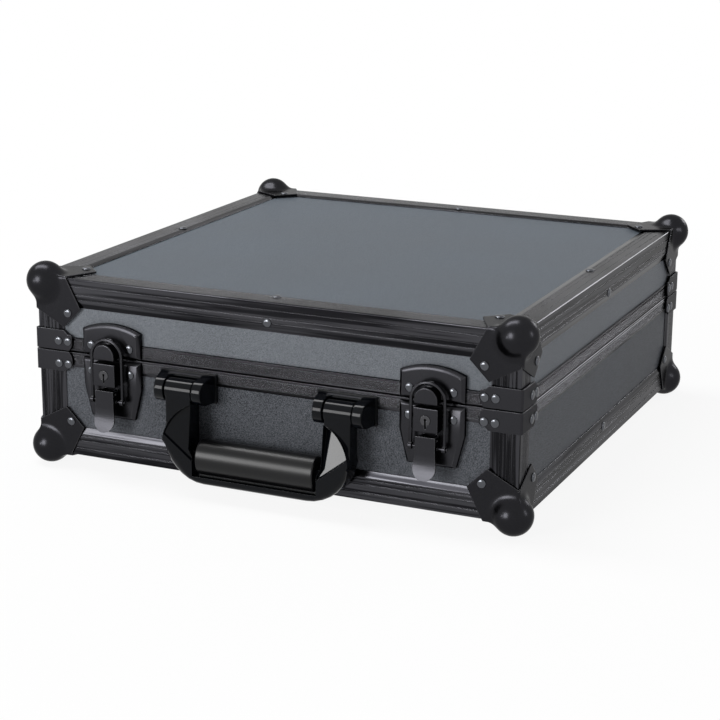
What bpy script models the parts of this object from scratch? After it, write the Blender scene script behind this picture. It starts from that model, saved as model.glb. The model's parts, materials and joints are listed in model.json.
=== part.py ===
"""Foam-lined flight case: a low plywood case for studio gear.

The case frame has its origin under the middle of the footprint, on the
underside of the edge profiles: X runs to the right, Y to the back, Z up.
The empty "flight_case" carries that frame and lifts it onto the ball corners.
All sizes are in metres.
"""

import math

import bmesh
import bpy
from mathutils import Matrix, Vector

# Case size over the edge profiles, and the height of the parting line
CASE_WIDTH = 0.420
CASE_DEPTH = 0.424
CASE_HEIGHT = 0.150
PARTING_HEIGHT = 0.0887
PARTING_GAP = 0.0010

# Running and seating clearances
SEAT_GAP = 0.0003
PIN_GAP = 0.0003
FOAM_GAP = 0.0003

# Panels and foam
PANEL_THICKNESS = 0.007
FLOOR_FOAM = 0.020
WALL_FOAM = 0.012
LID_FOAM_BACKING = 0.008
LID_FOAM_PEAK = 0.022
FOAM_CELLS = 18

# Edge and post profiles
PROFILE_WALL = 0.0016
PROFILE_LEG = 0.0242
PROFILE_FLAT = 0.0189
PROFILE_LIP_END = 0.0004
PROFILE_CORNER = 0.0010
GROOVE_WIDTH = 0.0008
GROOVE_DEPTH = 0.0005
EDGE_GROOVES = (0.0064, 0.0131, 0.0170)
POST_GROOVES = (0.0044, 0.0073, 0.0102, 0.0131, 0.0160, 0.0187)

# Closing profiles at the parting line
CLOSING_WEB = 0.0031
CLOSING_INNER_WALL = 0.0015
CLOSING_INNER_LEG = 0.0060
BASE_BAND = 0.0100
BASE_LIP = 0.0027
LID_BAND = 0.0086
LID_GROOVE = 0.0016
LID_LIP = 0.0011
BAND_RIBS = 8
RIB_FLAT_SHARE = 0.55
RIB_FOOT_SHARE = 0.70
RIB_END_SHARE = 0.85
RIB_DEPTH = 0.0004
BASE_BEAD = 0.0025
EDGE_CHAMFER = 0.0004
LID_GROOVE_DEPTH = 0.0010
LID_GROOVE_SLOPE = 0.0003
LID_LIP_DEPTH = 0.0001
LID_LIP_FLAT = 0.0005
TONGUE_HEIGHT = 0.0020
TONGUE_WIDTH = 0.0024
TONGUE_TAPER = 0.0004
TONGUE_GAP = 0.0006

# Ball corners
BALL_RADIUS = 0.0160
BALL_INSET = 0.0050
BALL_FLAT = 0.0002
BALL_SIDES = 32
BALL_RINGS = 20
FLANGE_THICKNESS = 0.0012
FLANGE_CLEARANCE = 0.0028
FLANGE_SHOULDER_SHARE = 0.61
FLANGE_FOOT_SHARE = 0.683

# Corner braces beside the parting line
BRACE_HEIGHT = 0.0170
BRACE_REACH = 0.0340
BRACE_THICKNESS = 0.0016
BRACE_NOTCH = 0.0040
BRACE_NOTCH_DROP = 0.0034
BRACE_CHAMFER = 0.0030
BRACE_CHAMFER_RISE = 0.0065
BRACE_NOTCH_EDGE = 0.0012
BRACE_BEND = 0.0016
BRACE_BEND_STEPS = 4

# Drop handle
HANDLE_LATCH_SPACING = 0.0704
HANDLE_ARM_WIDTH = 0.0229
HANDLE_PIN_STANDOFF = 0.0118
HANDLE_PIN_HEIGHT = 0.0730
HANDLE_PIN_RADIUS = 0.0025
HANDLE_BARREL_RADIUS = 0.0093
HANDLE_FRONT = 0.0206
HANDLE_BACK = 0.0062
HANDLE_FOOT = 0.0006
HANDLE_RIM = 0.0068
HANDLE_CORNER_RADIUS = 0.0360
HANDLE_WINDOW_CHAMFER = 0.0060
HANDLE_WINDOW_STEP = 0.0036
HANDLE_STEP_HEIGHT = 0.01595
HANDLE_EDGE = 0.0022
HANDLE_SWELL_FRONT = 0.0260
HANDLE_ARM_FOOT = 0.0342
HANDLE_ARM_SET = 0.0001
HANDLE_SWELL_TOP = 0.0640
HANDLE_SWELL_RADIUS = 0.03504
HANDLE_SWELL_START = 69.94
HANDLE_SWELL_END = 4.77
HANDLE_SWELL_STEPS = 3
HANDLE_SWELL_ROUNDING = ((0, 0.0010), (26, 0.0068), (46, 0.0085), (63, 0.0061), (70, 0.0041), (90, 0.0041))
HANDLE_RAMP_DOWN = 0.13
HANDLE_RAMP_OUT = 0.10
HANDLE_RAMP_INSIDE = 0.0080
HANDLE_EAR_WIDTH = 0.0080
HANDLE_EAR_GAP = 0.0012
HANDLE_EAR_RADIUS = 0.0103
HANDLE_EAR_DRAFT = 0.0036
HANDLE_PLATE_THICKNESS = 0.0018
HANDLE_PLATE_RIM = 0.0007
HANDLE_EAR_ROOT = 0.0010
HANDLE_EAR_RISE = 0.0018
HANDLE_EAR_EDGE = 0.0009
HANDLE_HOOD = 0.0082
HANDLE_HOOD_THICKNESS = 0.0021
GRIP_END_GAP = 0.00675
GRIP_HEIGHT = 0.0290
GRIP_DEPTH = 0.0250
GRIP_STANDOFF = 0.0150
GRIP_CORE_DEPTH = 0.0100
GRIP_CORE_HEIGHT = 0.0190
GRIP_CORE_ROOT = 0.0010
GRIP_FLAT = 0.0008
GRIP_SIDES = 28

# Latches
LATCH_SETBACK = 0.0702
PLATE_WIDTH = 0.0530
PLATE_PROUD = 0.0045
PLATE_RIM = 0.0018
PLATE_SLOPE = 0.0034
PLATE_WALL = 0.0014
KEEPER_ROOM_SHARE = 0.7403
KEEPER_ARCH = 0.0056
KEEPER_FOOT = 0.0004
BOSS_WIDTH = 0.0190
BOSS_HEIGHT = 0.0127
BOSS_STRAIGHT = 0.0030
BOSS_PROUD = 0.0155
BOSS_NECK_PROUD = 0.0121
BOSS_OVERHANG = 0.0007
BOSS_EDGE = 0.0009
BOSS_STEPS = 14
NUB_WIDTH = 0.0050
NUB_TOP = 0.0150
NUB_PROUD = 0.0080
NUB_EDGE = 0.0009
PLATE_TOP_DROP = 0.0018
PLATE_STRAIGHT = 0.0226
PLATE_TAPER_HEIGHT = 0.0260
PLATE_TAPER_WIDTH = 0.0400
LOCK_WIDTH = 0.0199
LOCK_HEIGHT = 0.0190
LOCK_TOP_DROP = 0.0022
LOCK_PROUD = 0.0155
CORE_RADIUS = 0.0040
CORE_LENGTH = 0.0090
CORE_PROUD = 0.0003
KEY_HOLE_RADIUS = 0.0011
KEY_HOLE_RISE = 0.0004
KEY_SLOT_WIDTH = 0.0013
KEY_SLOT_LENGTH = 0.0068
KEY_SLOT_DEPTH = 0.0040
EAR_RADIUS = 0.0024
EAR_WIDTH = 0.0016
EAR_GAP = 0.0006
LOCK_EDGE = 0.0008
LEVER_PIN_DROP = 0.0277
LEVER_PIN_STANDOFF = 0.0112
LEVER_PIN_RADIUS = 0.0012
LEVER_WIDTH = 0.0164
LEVER_TIP_WIDTH = 0.0189
LEVER_SHEET = 0.0015
LEVER_PROUD = 0.0155
LEVER_TOP_RISE = 0.0028
LEVER_LENGTH = 0.0310
LEVER_FLARE = 0.0040
LEVER_STRAIGHT = 0.0120
LEVER_STEPS = 5
CHEEK_BACK = 0.0076
CHEEK_RISE = 0.0020
CHEEK_FALL = 0.0080
STUB_HEAD = 0.0010
BAIL_WIRE_RADIUS = 0.0015
BAIL_HALF_WIDTH = 0.01365
BAIL_STANDOFF = 0.0102
BAIL_PIN_DROP = 0.0065
BAIL_REACH = 0.0490
BAIL_EYE_RADIUS = 0.0028
BAIL_EYE_HALF = 0.0013

# Hinges at the back
HINGE_SETBACK = 0.1050
HINGE_WIDTH = 0.0600
HINGE_LEAF_HEIGHT = 0.0240
HINGE_LEAF_THICKNESS = 0.0015
HINGE_BARREL_RADIUS = 0.0034
HINGE_PIN_RADIUS = 0.0016
HINGE_KNUCKLES = 5
HINGE_KNUCKLE_GAP = 0.0004
HINGE_CHAMFER = 0.0060

# Faces that meet at less than this angle count as one flat face
FLAT_ANGLE = 0.0005

# Edges sharper than this are shaded sharp
SHARP_ANGLE = math.radians(32)

# Sizes worked out from the ones above
BALL_REACH = BALL_RADIUS - BALL_INSET - BALL_FLAT
FRONT_PLANE = -CASE_DEPTH / 2
BACK_PLANE = CASE_DEPTH / 2
PANEL_INSET = PROFILE_WALL + SEAT_GAP
PANEL_INNER = PANEL_INSET + PANEL_THICKNESS
BASE_TOP = PARTING_HEIGHT - PARTING_GAP / 2
LID_FOOT = PARTING_HEIGHT + PARTING_GAP / 2
BASE_WALL_TOP = BASE_TOP - CLOSING_WEB - SEAT_GAP
LID_WEB = CLOSING_WEB + TONGUE_GAP
LID_WALL_FOOT = LID_FOOT + LID_WEB + SEAT_GAP
GRIP_FRONT = GRIP_STANDOFF + GRIP_DEPTH / 2
BALL_TIP = BALL_RADIUS - BALL_INSET
PANEL_SEAT = SEAT_GAP - PANEL_INSET
PLATE_ROOT = PLATE_PROUD - PLATE_WALL / 2
LID_BAND_TOP = LID_FOOT + LID_BAND + LID_GROOVE + LID_LIP
BASE_BAND_FOOT = BASE_TOP - BASE_BAND - BASE_LIP
MITRE_GAP = SEAT_GAP / math.sqrt(2)
FLANGE_REACH = CASE_HEIGHT - LID_FOOT - BRACE_HEIGHT - FLANGE_CLEARANCE
FLANGE_SHOULDER = FLANGE_SHOULDER_SHARE * FLANGE_REACH
FLANGE_FOOT = FLANGE_FOOT_SHARE * FLANGE_REACH
LATCH_CENTRE = CASE_WIDTH / 2 - LATCH_SETBACK
HANDLE_ARM_CENTRE = LATCH_CENTRE - HANDLE_LATCH_SPACING
HANDLE_ARM_INNER = HANDLE_ARM_CENTRE - HANDLE_ARM_WIDTH / 2
HANDLE_ARM_OUTER = HANDLE_ARM_CENTRE + HANDLE_ARM_WIDTH / 2
GRIP_LENGTH = 2 * (HANDLE_ARM_INNER - GRIP_END_GAP)
HINGE_CENTRE = CASE_WIDTH / 2 - HINGE_SETBACK
KEEPER_LOW = LID_FOOT + KEEPER_FOOT
KEEPER_HEIGHT = KEEPER_ROOM_SHARE * (CASE_HEIGHT - PROFILE_LEG - KEEPER_LOW)
FRAME_SHIFT = (max(GRIP_FRONT, BALL_TIP) - BALL_TIP) / 2
HINGE_AXIS_Y = BACK_PLANE + 2 * SEAT_GAP + HINGE_BARREL_RADIUS
LEVER_PIN_Z = PARTING_HEIGHT - LEVER_PIN_DROP
BAIL_AXIS_Z = LEVER_PIN_Z - BAIL_PIN_DROP
LOCK_CENTRE_Z = PARTING_HEIGHT - LOCK_TOP_DROP - LOCK_HEIGHT / 2

# Material colours, roughness and metallic value
FINISHES = {
    "panel_laminate": ((0.060, 0.066, 0.074), 0.62, 0.0),
    "profile_black": ((0.020, 0.020, 0.023), 0.36, 0.8),
    "steel_black": ((0.022, 0.022, 0.025), 0.32, 0.7),
    "plastic_gloss": ((0.008, 0.010, 0.016), 0.12, 0.0),
    "grip_rubber": ((0.020, 0.020, 0.021), 0.55, 0.0),
    "lock_metal": ((0.080, 0.080, 0.085), 0.30, 0.9),
    "foam_grey": ((0.045, 0.045, 0.048), 0.95, 0.0),
}


def clear_scene():
    """Removes every object that the start-up file holds."""
    for item in list(bpy.data.objects):
        bpy.data.objects.remove(item, do_unlink=True)


def new_collection(name):
    group = bpy.data.collections.new(name)
    bpy.context.scene.collection.children.link(group)
    return group


def make_material(name):
    colour, roughness, metallic = FINISHES[name]
    material = bpy.data.materials.new(name)
    material.use_nodes = True
    shader = material.node_tree.nodes["Principled BSDF"]
    shader.inputs["Base Color"].default_value = (*colour, 1.0)
    shader.inputs["Roughness"].default_value = roughness
    shader.inputs["Metallic"].default_value = metallic
    material.diffuse_color = (*colour, 1.0)
    return material


def frame(x_axis, y_axis, z_axis, origin=(0, 0, 0)):
    """Gives the matrix that lays local X, Y and Z along the named directions."""
    matrix = Matrix((x_axis, y_axis, z_axis)).transposed().to_4x4()
    matrix.translation = Vector(origin)
    return matrix


def front_frame(origin=(0, 0, 0)):
    """Local X to the right, local Y up, local Z out of the front."""
    return frame((1, 0, 0), (0, 0, 1), (0, -1, 0), origin)


def top_frame(origin=(0, 0, 0)):
    """Local axes along the case's own."""
    return frame((1, 0, 0), (0, 1, 0), (0, 0, 1), origin)


def tidy(mesh):
    """Joins doubled points and flat faces, and turns every face outwards."""
    work = bmesh.new()
    work.from_mesh(mesh)
    bmesh.ops.remove_doubles(work, verts=work.verts, dist=1e-7)
    bmesh.ops.dissolve_limit(work, angle_limit=FLAT_ANGLE, verts=work.verts, edges=work.edges)
    bmesh.ops.recalc_face_normals(work, faces=work.faces)
    work.to_mesh(mesh)
    work.free()
    return mesh


def evaluated_mesh(holder):
    """Gives the mesh that an object's modifiers make, and removes the object."""
    bpy.context.view_layer.update()
    graph = bpy.context.evaluated_depsgraph_get()
    mesh = bpy.data.meshes.new_from_object(holder.evaluated_get(graph))
    bpy.data.objects.remove(holder)
    return mesh


def outline_mesh(outline, low, high, matrix):
    """Extrudes a flat outline from low to high along local Z."""
    curve = bpy.data.curves.new("outline", "CURVE")
    curve.dimensions = "2D"
    curve.fill_mode = "BOTH"
    curve.extrude = (high - low) / 2
    spline = curve.splines.new("POLY")
    spline.points.add(len(outline) - 1)
    for point, (x, y) in zip(spline.points, outline):
        point.co = (x, y, 0, 1)
    spline.use_cyclic_u = True
    holder = bpy.data.objects.new("outline", curve)
    bpy.context.scene.collection.objects.link(holder)
    mesh = evaluated_mesh(holder)
    bpy.data.curves.remove(curve)
    mesh.transform(matrix @ Matrix.Translation((0, 0, (low + high) / 2)))
    return tidy(mesh)


def box_mesh(low, high):
    work = bmesh.new()
    bmesh.ops.create_cube(work, size=1.0)
    size = Vector(high) - Vector(low)
    middle = (Vector(high) + Vector(low)) / 2
    for vertex in work.verts:
        vertex.co = Vector(vertex.co[i] * size[i] + middle[i] for i in range(3))
    mesh = bpy.data.meshes.new("box")
    work.to_mesh(mesh)
    work.free()
    return mesh


def cylinder_mesh(radius, low, high, matrix, sides=24):
    """A round bar along local Z from low to high."""
    work = bmesh.new()
    bmesh.ops.create_cone(work, cap_ends=True, segments=sides, radius1=radius,
                          radius2=radius, depth=high - low)
    mesh = bpy.data.meshes.new("cylinder")
    work.to_mesh(mesh)
    work.free()
    mesh.transform(matrix @ Matrix.Translation((0, 0, (low + high) / 2)))
    return mesh


def arc(centre, radius, start, end, steps):
    """Points on a circle from the start angle to the end angle, in degrees."""
    points = []
    for step in range(steps + 1):
        angle = math.radians(start + (end - start) * step / steps)
        points.append((centre[0] + radius * math.cos(angle), centre[1] + radius * math.sin(angle)))
    return points


def combine(meshes, operation):
    """Runs one exact Boolean after another on the first mesh."""
    base = bpy.data.objects.new("work", meshes[0])
    bpy.context.scene.collection.objects.link(base)
    for other in meshes[1:]:
        tool = bpy.data.objects.new("tool", other)
        bpy.context.scene.collection.objects.link(tool)
        step = base.modifiers.new("cut", "BOOLEAN")
        step.operation = operation
        step.solver = "EXACT"
        step.object = tool
        bpy.context.view_layer.update()
        graph = bpy.context.evaluated_depsgraph_get()
        result = bpy.data.meshes.new_from_object(base.evaluated_get(graph))
        base.modifiers.clear()
        base.data = result
        bpy.data.objects.remove(tool)
    mesh = base.data
    bpy.data.objects.remove(base)
    return mesh


def bevelled(mesh, width, segments=2, angle=40.0):
    """Rounds the sharp edges of a mesh."""
    holder = bpy.data.objects.new("work", mesh)
    bpy.context.scene.collection.objects.link(holder)
    step = holder.modifiers.new("round", "BEVEL")
    step.width = width
    step.segments = segments
    step.limit_method = "ANGLE"
    step.angle_limit = math.radians(angle)
    return evaluated_mesh(holder)


def mirrored(mesh, x=1, y=1, z=1):
    """A copy of a mesh with the chosen signs, its faces still outwards."""
    copy = mesh.copy()
    copy.transform(Matrix.Diagonal((x, y, z, 1)))
    if x * y * z < 0:
        copy.flip_normals()
    return copy


class Builder:
    """Holds the case's collection, its root empty and its materials."""

    def __init__(self):
        self.group = new_collection("flight_case")
        self.materials = {name: make_material(name) for name in FINISHES}
        self.root = bpy.data.objects.new("flight_case", None)
        self.root.location = (0, FRAME_SHIFT, BALL_REACH)
        self.group.objects.link(self.root)

    def add(self, name, mesh, finish, origin=(0, 0, 0), parent=None):
        """Adds a node whose mesh is given in the case frame, with its origin at a point."""
        mesh.name = name
        mesh.transform(Matrix.Translation(-Vector(origin)))
        mesh.materials.clear()
        mesh.materials.append(self.materials[finish])
        mesh.shade_smooth()
        mesh.set_sharp_from_angle(angle=SHARP_ANGLE)
        item = bpy.data.objects.new(name, mesh)
        self.group.objects.link(item)
        item.parent = parent or self.root
        shift = Vector(origin)
        if parent is not None:
            shift = shift - Vector(parent["case_origin"])
        item.location = shift
        item["case_origin"] = list(origin)
        return item


# Profile sections

def leg_face(grooves, flat):
    """Outer face of one leg, from the corner out: (distance, depth) pairs."""
    points = [(PROFILE_CORNER, 0.0)]
    for groove in grooves:
        if groove + GROOVE_WIDTH < flat:
            points += [(groove - GROOVE_WIDTH / 2, 0.0), (groove - GROOVE_WIDTH / 4, GROOVE_DEPTH),
                       (groove + GROOVE_WIDTH / 4, GROOVE_DEPTH), (groove + GROOVE_WIDTH / 2, 0.0)]
    points += [(flat, 0.0), (PROFILE_LEG, PROFILE_WALL - PROFILE_LIP_END)]
    return points


def angle_section(grooves):
    """L section of an edge profile: (depth from one face, depth from the other)."""
    face = leg_face(grooves, PROFILE_FLAT)
    first = [(distance, depth) for distance, depth in reversed(face)]
    second = [(depth, distance) for distance, depth in face]
    bend = arc((PROFILE_CORNER, PROFILE_CORNER), PROFILE_CORNER, 250, 200, 1)
    inner = [(PROFILE_WALL, PROFILE_LEG), (PROFILE_WALL, PROFILE_WALL), (PROFILE_LEG, PROFILE_WALL)]
    return first + bend + second + inner


def ribbed_band(low, high):
    """Fine ribs on a closing profile's outer face, from low to high."""
    points = [(0.0, low)]
    pitch = (high - low) / BAND_RIBS
    for rib in range(BAND_RIBS):
        foot = low + rib * pitch
        points += [(0.0, foot + RIB_FLAT_SHARE * pitch), (RIB_DEPTH, foot + RIB_FOOT_SHARE * pitch),
                   (RIB_DEPTH, foot + RIB_END_SHARE * pitch)]
    points.append((0.0, high))
    return points


def base_closing_section():
    """Base closing profile with its tongue: (depth from the face, height)."""
    top = BASE_TOP
    bead_foot = top - BASE_BEAD
    band_foot = top - BASE_BAND
    inner = PANEL_INNER + SEAT_GAP + CLOSING_INNER_WALL
    middle = inner / 2
    wide = TONGUE_WIDTH / 2
    narrow = wide - TONGUE_TAPER
    points = [(PROFILE_WALL, band_foot - BASE_LIP), (PROFILE_WALL - PROFILE_LIP_END, band_foot - BASE_LIP)]
    points += ribbed_band(band_foot, bead_foot)
    points += [(RIB_DEPTH, bead_foot + EDGE_CHAMFER), (0.0, bead_foot + 2 * EDGE_CHAMFER)]
    points += [(0.0, top - EDGE_CHAMFER), (EDGE_CHAMFER, top)]
    points += [(middle - wide, top), (middle - narrow, top + TONGUE_HEIGHT)]
    points += [(middle + narrow, top + TONGUE_HEIGHT), (middle + wide, top)]
    points += [(inner, top), (inner, top - CLOSING_WEB - CLOSING_INNER_LEG)]
    points += [(inner - CLOSING_INNER_WALL, top - CLOSING_WEB - CLOSING_INNER_LEG)]
    points += [(inner - CLOSING_INNER_WALL, top - CLOSING_WEB), (PROFILE_WALL, top - CLOSING_WEB)]
    return points


def lid_closing_section():
    """Lid closing profile with the groove for the tongue."""
    foot = LID_FOOT
    band_top = foot + LID_BAND
    lip = band_top + LID_GROOVE
    inner = PANEL_INNER + SEAT_GAP + CLOSING_INNER_WALL
    middle = inner / 2
    wide = TONGUE_WIDTH / 2 + TONGUE_GAP
    narrow = wide - TONGUE_TAPER
    depth = TONGUE_HEIGHT - PARTING_GAP + TONGUE_GAP
    web_top = foot + LID_WEB
    points = [(inner, foot), (middle + wide, foot), (middle + narrow, foot + depth)]
    points += [(middle - narrow, foot + depth), (middle - wide, foot)]
    points += [(EDGE_CHAMFER, foot), (0.0, foot + EDGE_CHAMFER)]
    points += ribbed_band(foot + 2 * EDGE_CHAMFER, band_top)
    points += [(LID_GROOVE_DEPTH, band_top + LID_GROOVE_SLOPE), (LID_GROOVE_DEPTH, lip - LID_GROOVE_SLOPE)]
    points += [(LID_LIP_DEPTH, lip), (LID_LIP_DEPTH, lip + LID_LIP_FLAT)]
    points += [(PROFILE_WALL - PROFILE_LIP_END, lip + LID_LIP), (PROFILE_WALL, lip + LID_LIP)]
    points += [(PROFILE_WALL, web_top), (inner - CLOSING_INNER_WALL, web_top)]
    points += [(inner - CLOSING_INNER_WALL, web_top + CLOSING_INNER_LEG)]
    points += [(inner, web_top + CLOSING_INNER_LEG)]
    return points


# Frames that run round the case

def mitred_side(section, half_length, half_span):
    """One mitred bar along X whose section is (depth from the face, height)."""
    mesh = outline_mesh(section, -half_length, half_length, frame((0, 1, 0), (0, 0, 1), (1, 0, 0)))
    for vertex in mesh.vertices:
        end = math.copysign(half_length - MITRE_GAP - vertex.co.y, vertex.co.x)
        vertex.co = (end, vertex.co.y - half_span, vertex.co.z)
    return mesh


def ring_mesh(section):
    """A closed frame round the case, mitred at its four corners."""
    reach = CASE_WIDTH / 2
    profile = bpy.data.meshes.new("ring")
    points = [(reach - depth, 0, height) for depth, height in section]
    profile.from_pydata(points, [(i - 1, i) for i in range(1, len(points))] + [(len(points) - 1, 0)], [])
    holder = bpy.data.objects.new("ring", profile)
    bpy.context.scene.collection.objects.link(holder)
    turn = holder.modifiers.new("turn", "SCREW")
    turn.steps = 4
    turn.render_steps = 4
    turn.use_merge_vertices = True
    turn.merge_threshold = 0.00001
    mesh = evaluated_mesh(holder)
    for vertex in mesh.vertices:
        x, y, height = vertex.co
        depth = reach - math.hypot(x, y)
        across = math.copysign(CASE_WIDTH / 2 - depth, x - y)
        vertex.co = (across, math.copysign(CASE_DEPTH / 2 - depth, x + y), height)
    return tidy(mesh)


def build_edge_profiles(case, part, top):
    """Four mitred L profiles on the lid's top rim or the base's bottom rim."""
    section = angle_section(EDGE_GROOVES)
    if top:
        section = [(depth, CASE_HEIGHT - height) for depth, height in section]
    spans = {"front": (CASE_WIDTH / 2, CASE_DEPTH / 2, 0), "back": (CASE_WIDTH / 2, CASE_DEPTH / 2, 180),
             "right": (CASE_DEPTH / 2, CASE_WIDTH / 2, 90), "left": (CASE_DEPTH / 2, CASE_WIDTH / 2, 270)}
    for side, (half_length, half_span, turn) in spans.items():
        mesh = mitred_side(section, half_length, half_span)
        mesh.transform(Matrix.Rotation(math.radians(turn), 4, "Z"))
        case.add(f"{part}_edge_profile_{side}", tidy(mesh), "profile_black")


def build_posts(case, part, low, high):
    """Four ribbed corner posts between the edge profiles and the closing profile."""
    section = angle_section(POST_GROOVES)
    outline = [(x - CASE_WIDTH / 2, y - CASE_DEPTH / 2) for x, y in section]
    post = outline_mesh(outline, low + SEAT_GAP, high - SEAT_GAP, top_frame())
    for name, x, y in CORNERS:
        case.add(f"{part}_post_{name}", mirrored(post, x, y), "profile_black")


CORNERS = (("front_left", 1, 1), ("front_right", -1, 1), ("back_left", 1, -1), ("back_right", -1, -1))


# Ball corners and braces

def ball_corner_mesh():
    """Ball corner of the front left bottom corner, pressed over three faces."""
    outer = -(SEAT_GAP + FLANGE_THICKNESS)
    outline = [(outer, outer), (FLANGE_FOOT, outer), (FLANGE_REACH, FLANGE_SHOULDER),
               (FLANGE_SHOULDER, FLANGE_REACH), (outer, FLANGE_FOOT)]
    corner = (-CASE_WIDTH / 2, -CASE_DEPTH / 2, 0)
    faces = (frame((1, 0, 0), (0, 1, 0), (0, 0, 1), corner),
             frame((0, 1, 0), (0, 0, 1), (1, 0, 0), corner),
             frame((0, 0, 1), (1, 0, 0), (0, 1, 0), corner))
    flanges = [outline_mesh(outline, outer, PROFILE_WALL, face) for face in faces]
    ball = bmesh.new()
    bmesh.ops.create_uvsphere(ball, u_segments=BALL_SIDES, v_segments=BALL_RINGS, radius=BALL_RADIUS)
    ball_mesh = bpy.data.meshes.new("ball")
    ball.to_mesh(ball_mesh)
    ball.free()
    turn = Vector((0, 0, 1)).rotation_difference(Vector((1, 1, 1))).to_matrix().to_4x4()
    centre = Vector(corner) + Vector((BALL_INSET, BALL_INSET, BALL_INSET))
    ball_mesh.transform(Matrix.Translation(centre) @ turn)
    cap = combine([ball_mesh, *flanges], "UNION")
    low = Vector(corner) - Vector((SEAT_GAP, SEAT_GAP, SEAT_GAP))
    room = box_mesh(low, Vector(corner) + Vector((PARTING_HEIGHT, PARTING_HEIGHT, PARTING_HEIGHT)))
    low = Vector(corner) - Vector((BALL_RADIUS, BALL_RADIUS, BALL_RADIUS)) * 2
    foot = box_mesh(low, Vector((corner[0] + BALL_RADIUS, corner[1] + BALL_RADIUS, -BALL_REACH)))
    return combine([cap, room, foot], "DIFFERENCE")


def build_ball_corners(case, part, top):
    pressed = ball_corner_mesh()
    for name, x, y in CORNERS:
        mesh = mirrored(pressed, x, y)
        if top:
            mesh = mirrored(mesh, 1, 1, -1)
            mesh.transform(Matrix.Translation((0, 0, CASE_HEIGHT)))
        case.add(f"{part}_ball_corner_{name}", mesh, "steel_black")


def brace_mesh():
    """Lid corner brace at the front left: a notched strip bent round the corner post."""
    notch = BRACE_HEIGHT - BRACE_NOTCH_DROP
    half = [(BRACE_REACH - BRACE_CHAMFER, 0.0),
            (BRACE_REACH - BRACE_CHAMFER / 4, BRACE_CHAMFER_RISE / 2),
            (BRACE_REACH, BRACE_CHAMFER_RISE),
            (BRACE_REACH, notch - BRACE_NOTCH_EDGE),
            (BRACE_REACH - BRACE_NOTCH_EDGE, notch),
            (BRACE_REACH - BRACE_NOTCH, notch),
            (BRACE_REACH - BRACE_NOTCH - BRACE_NOTCH_DROP, BRACE_HEIGHT)]
    outline = half + [(-along, height) for along, height in reversed(half)]
    mesh = outline_mesh(outline, SEAT_GAP, SEAT_GAP + BRACE_THICKNESS, top_frame())
    work = bmesh.new()
    work.from_mesh(mesh)
    for step in range(BRACE_BEND_STEPS + 1):
        cut = BRACE_BEND * (2 * step / BRACE_BEND_STEPS - 1)
        bmesh.ops.bisect_plane(work, geom=work.verts[:] + work.edges[:] + work.faces[:],
                               plane_co=(cut, 0, 0), plane_no=(1, 0, 0))
    for vertex in work.verts:
        along, height, lift = vertex.co
        share = max(-1.0, min(1.0, along / BRACE_BEND))
        angle = math.radians(45 - 45 * share)
        past = along - share * BRACE_BEND
        x = max(past, 0.0) - lift * math.sin(angle)
        y = max(-past, 0.0) - lift * math.cos(angle)
        vertex.co = (x - CASE_WIDTH / 2, y - CASE_DEPTH / 2, LID_FOOT + height)
    bmesh.ops.recalc_face_normals(work, faces=work.faces)
    work.to_mesh(mesh)
    work.free()
    return mesh


def build_braces(case, part, top):
    bent = brace_mesh()
    for name, x, y in CORNERS:
        mesh = mirrored(bent, x, y)
        if not top:
            mesh = mirrored(mesh, 1, 1, -1)
            mesh.transform(Matrix.Translation((0, 0, 2 * PARTING_HEIGHT)))
        case.add(f"{part}_corner_brace_{name}", mesh, "steel_black")


# Panels and foam

def panel_box(inset, low, high):
    return box_mesh((-CASE_WIDTH / 2 + inset, -CASE_DEPTH / 2 + inset, low),
                    (CASE_WIDTH / 2 - inset, CASE_DEPTH / 2 - inset, high))


def wall_section(outer, inner, low, high):
    return [(outer, low), (outer, high), (inner, high), (inner, low)]


def build_panels(case):
    floor_top = PANEL_INSET + PANEL_THICKNESS
    case.add("base_bottom_panel", panel_box(PANEL_INSET, PANEL_INSET, floor_top), "panel_laminate")
    walls = wall_section(PANEL_INSET, PANEL_INNER, floor_top + SEAT_GAP, BASE_WALL_TOP)
    case.add("base_wall_panels", ring_mesh(walls), "panel_laminate")
    roof_foot = CASE_HEIGHT - PANEL_INSET - PANEL_THICKNESS
    case.add("lid_top_panel", panel_box(PANEL_INSET, roof_foot, CASE_HEIGHT - PANEL_INSET), "panel_laminate")
    walls = wall_section(PANEL_INSET, PANEL_INNER, LID_WALL_FOOT, roof_foot - SEAT_GAP)
    case.add("lid_wall_panels", ring_mesh(walls), "panel_laminate")


def egg_crate_mesh(inset, backing_top, backing_foot):
    """Lid foam: a flat backing with rows of peaks that point down."""
    work = bmesh.new()
    bmesh.ops.create_grid(work, x_segments=FOAM_CELLS, y_segments=FOAM_CELLS, size=0.5)
    pitch = 1.0 / FOAM_CELLS
    for vertex in work.verts:
        column = round((vertex.co.x + 0.5) / pitch)
        row = round((vertex.co.y + 0.5) / pitch)
        edge = column in (0, FOAM_CELLS) or row in (0, FOAM_CELLS)
        share = (column % 2 + row % 2) / 2
        vertex.co.z = 0.0 if edge else -LID_FOAM_PEAK * share
    boundary = [edge for edge in work.edges if edge.is_boundary]
    result = bmesh.ops.extrude_edge_only(work, edges=boundary)
    rim = [item for item in result["geom"] if isinstance(item, bmesh.types.BMVert)]
    bmesh.ops.translate(work, verts=rim, vec=(0, 0, backing_top - backing_foot))
    bmesh.ops.contextual_create(work, geom=[edge for edge in work.edges if edge.is_boundary])
    for vertex in work.verts:
        vertex.co.x *= CASE_WIDTH - 2 * inset
        vertex.co.y *= CASE_DEPTH - 2 * inset
        vertex.co.z += backing_foot
    bmesh.ops.recalc_face_normals(work, faces=work.faces)
    mesh = bpy.data.meshes.new("egg_crate")
    work.to_mesh(mesh)
    work.free()
    return mesh


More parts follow.
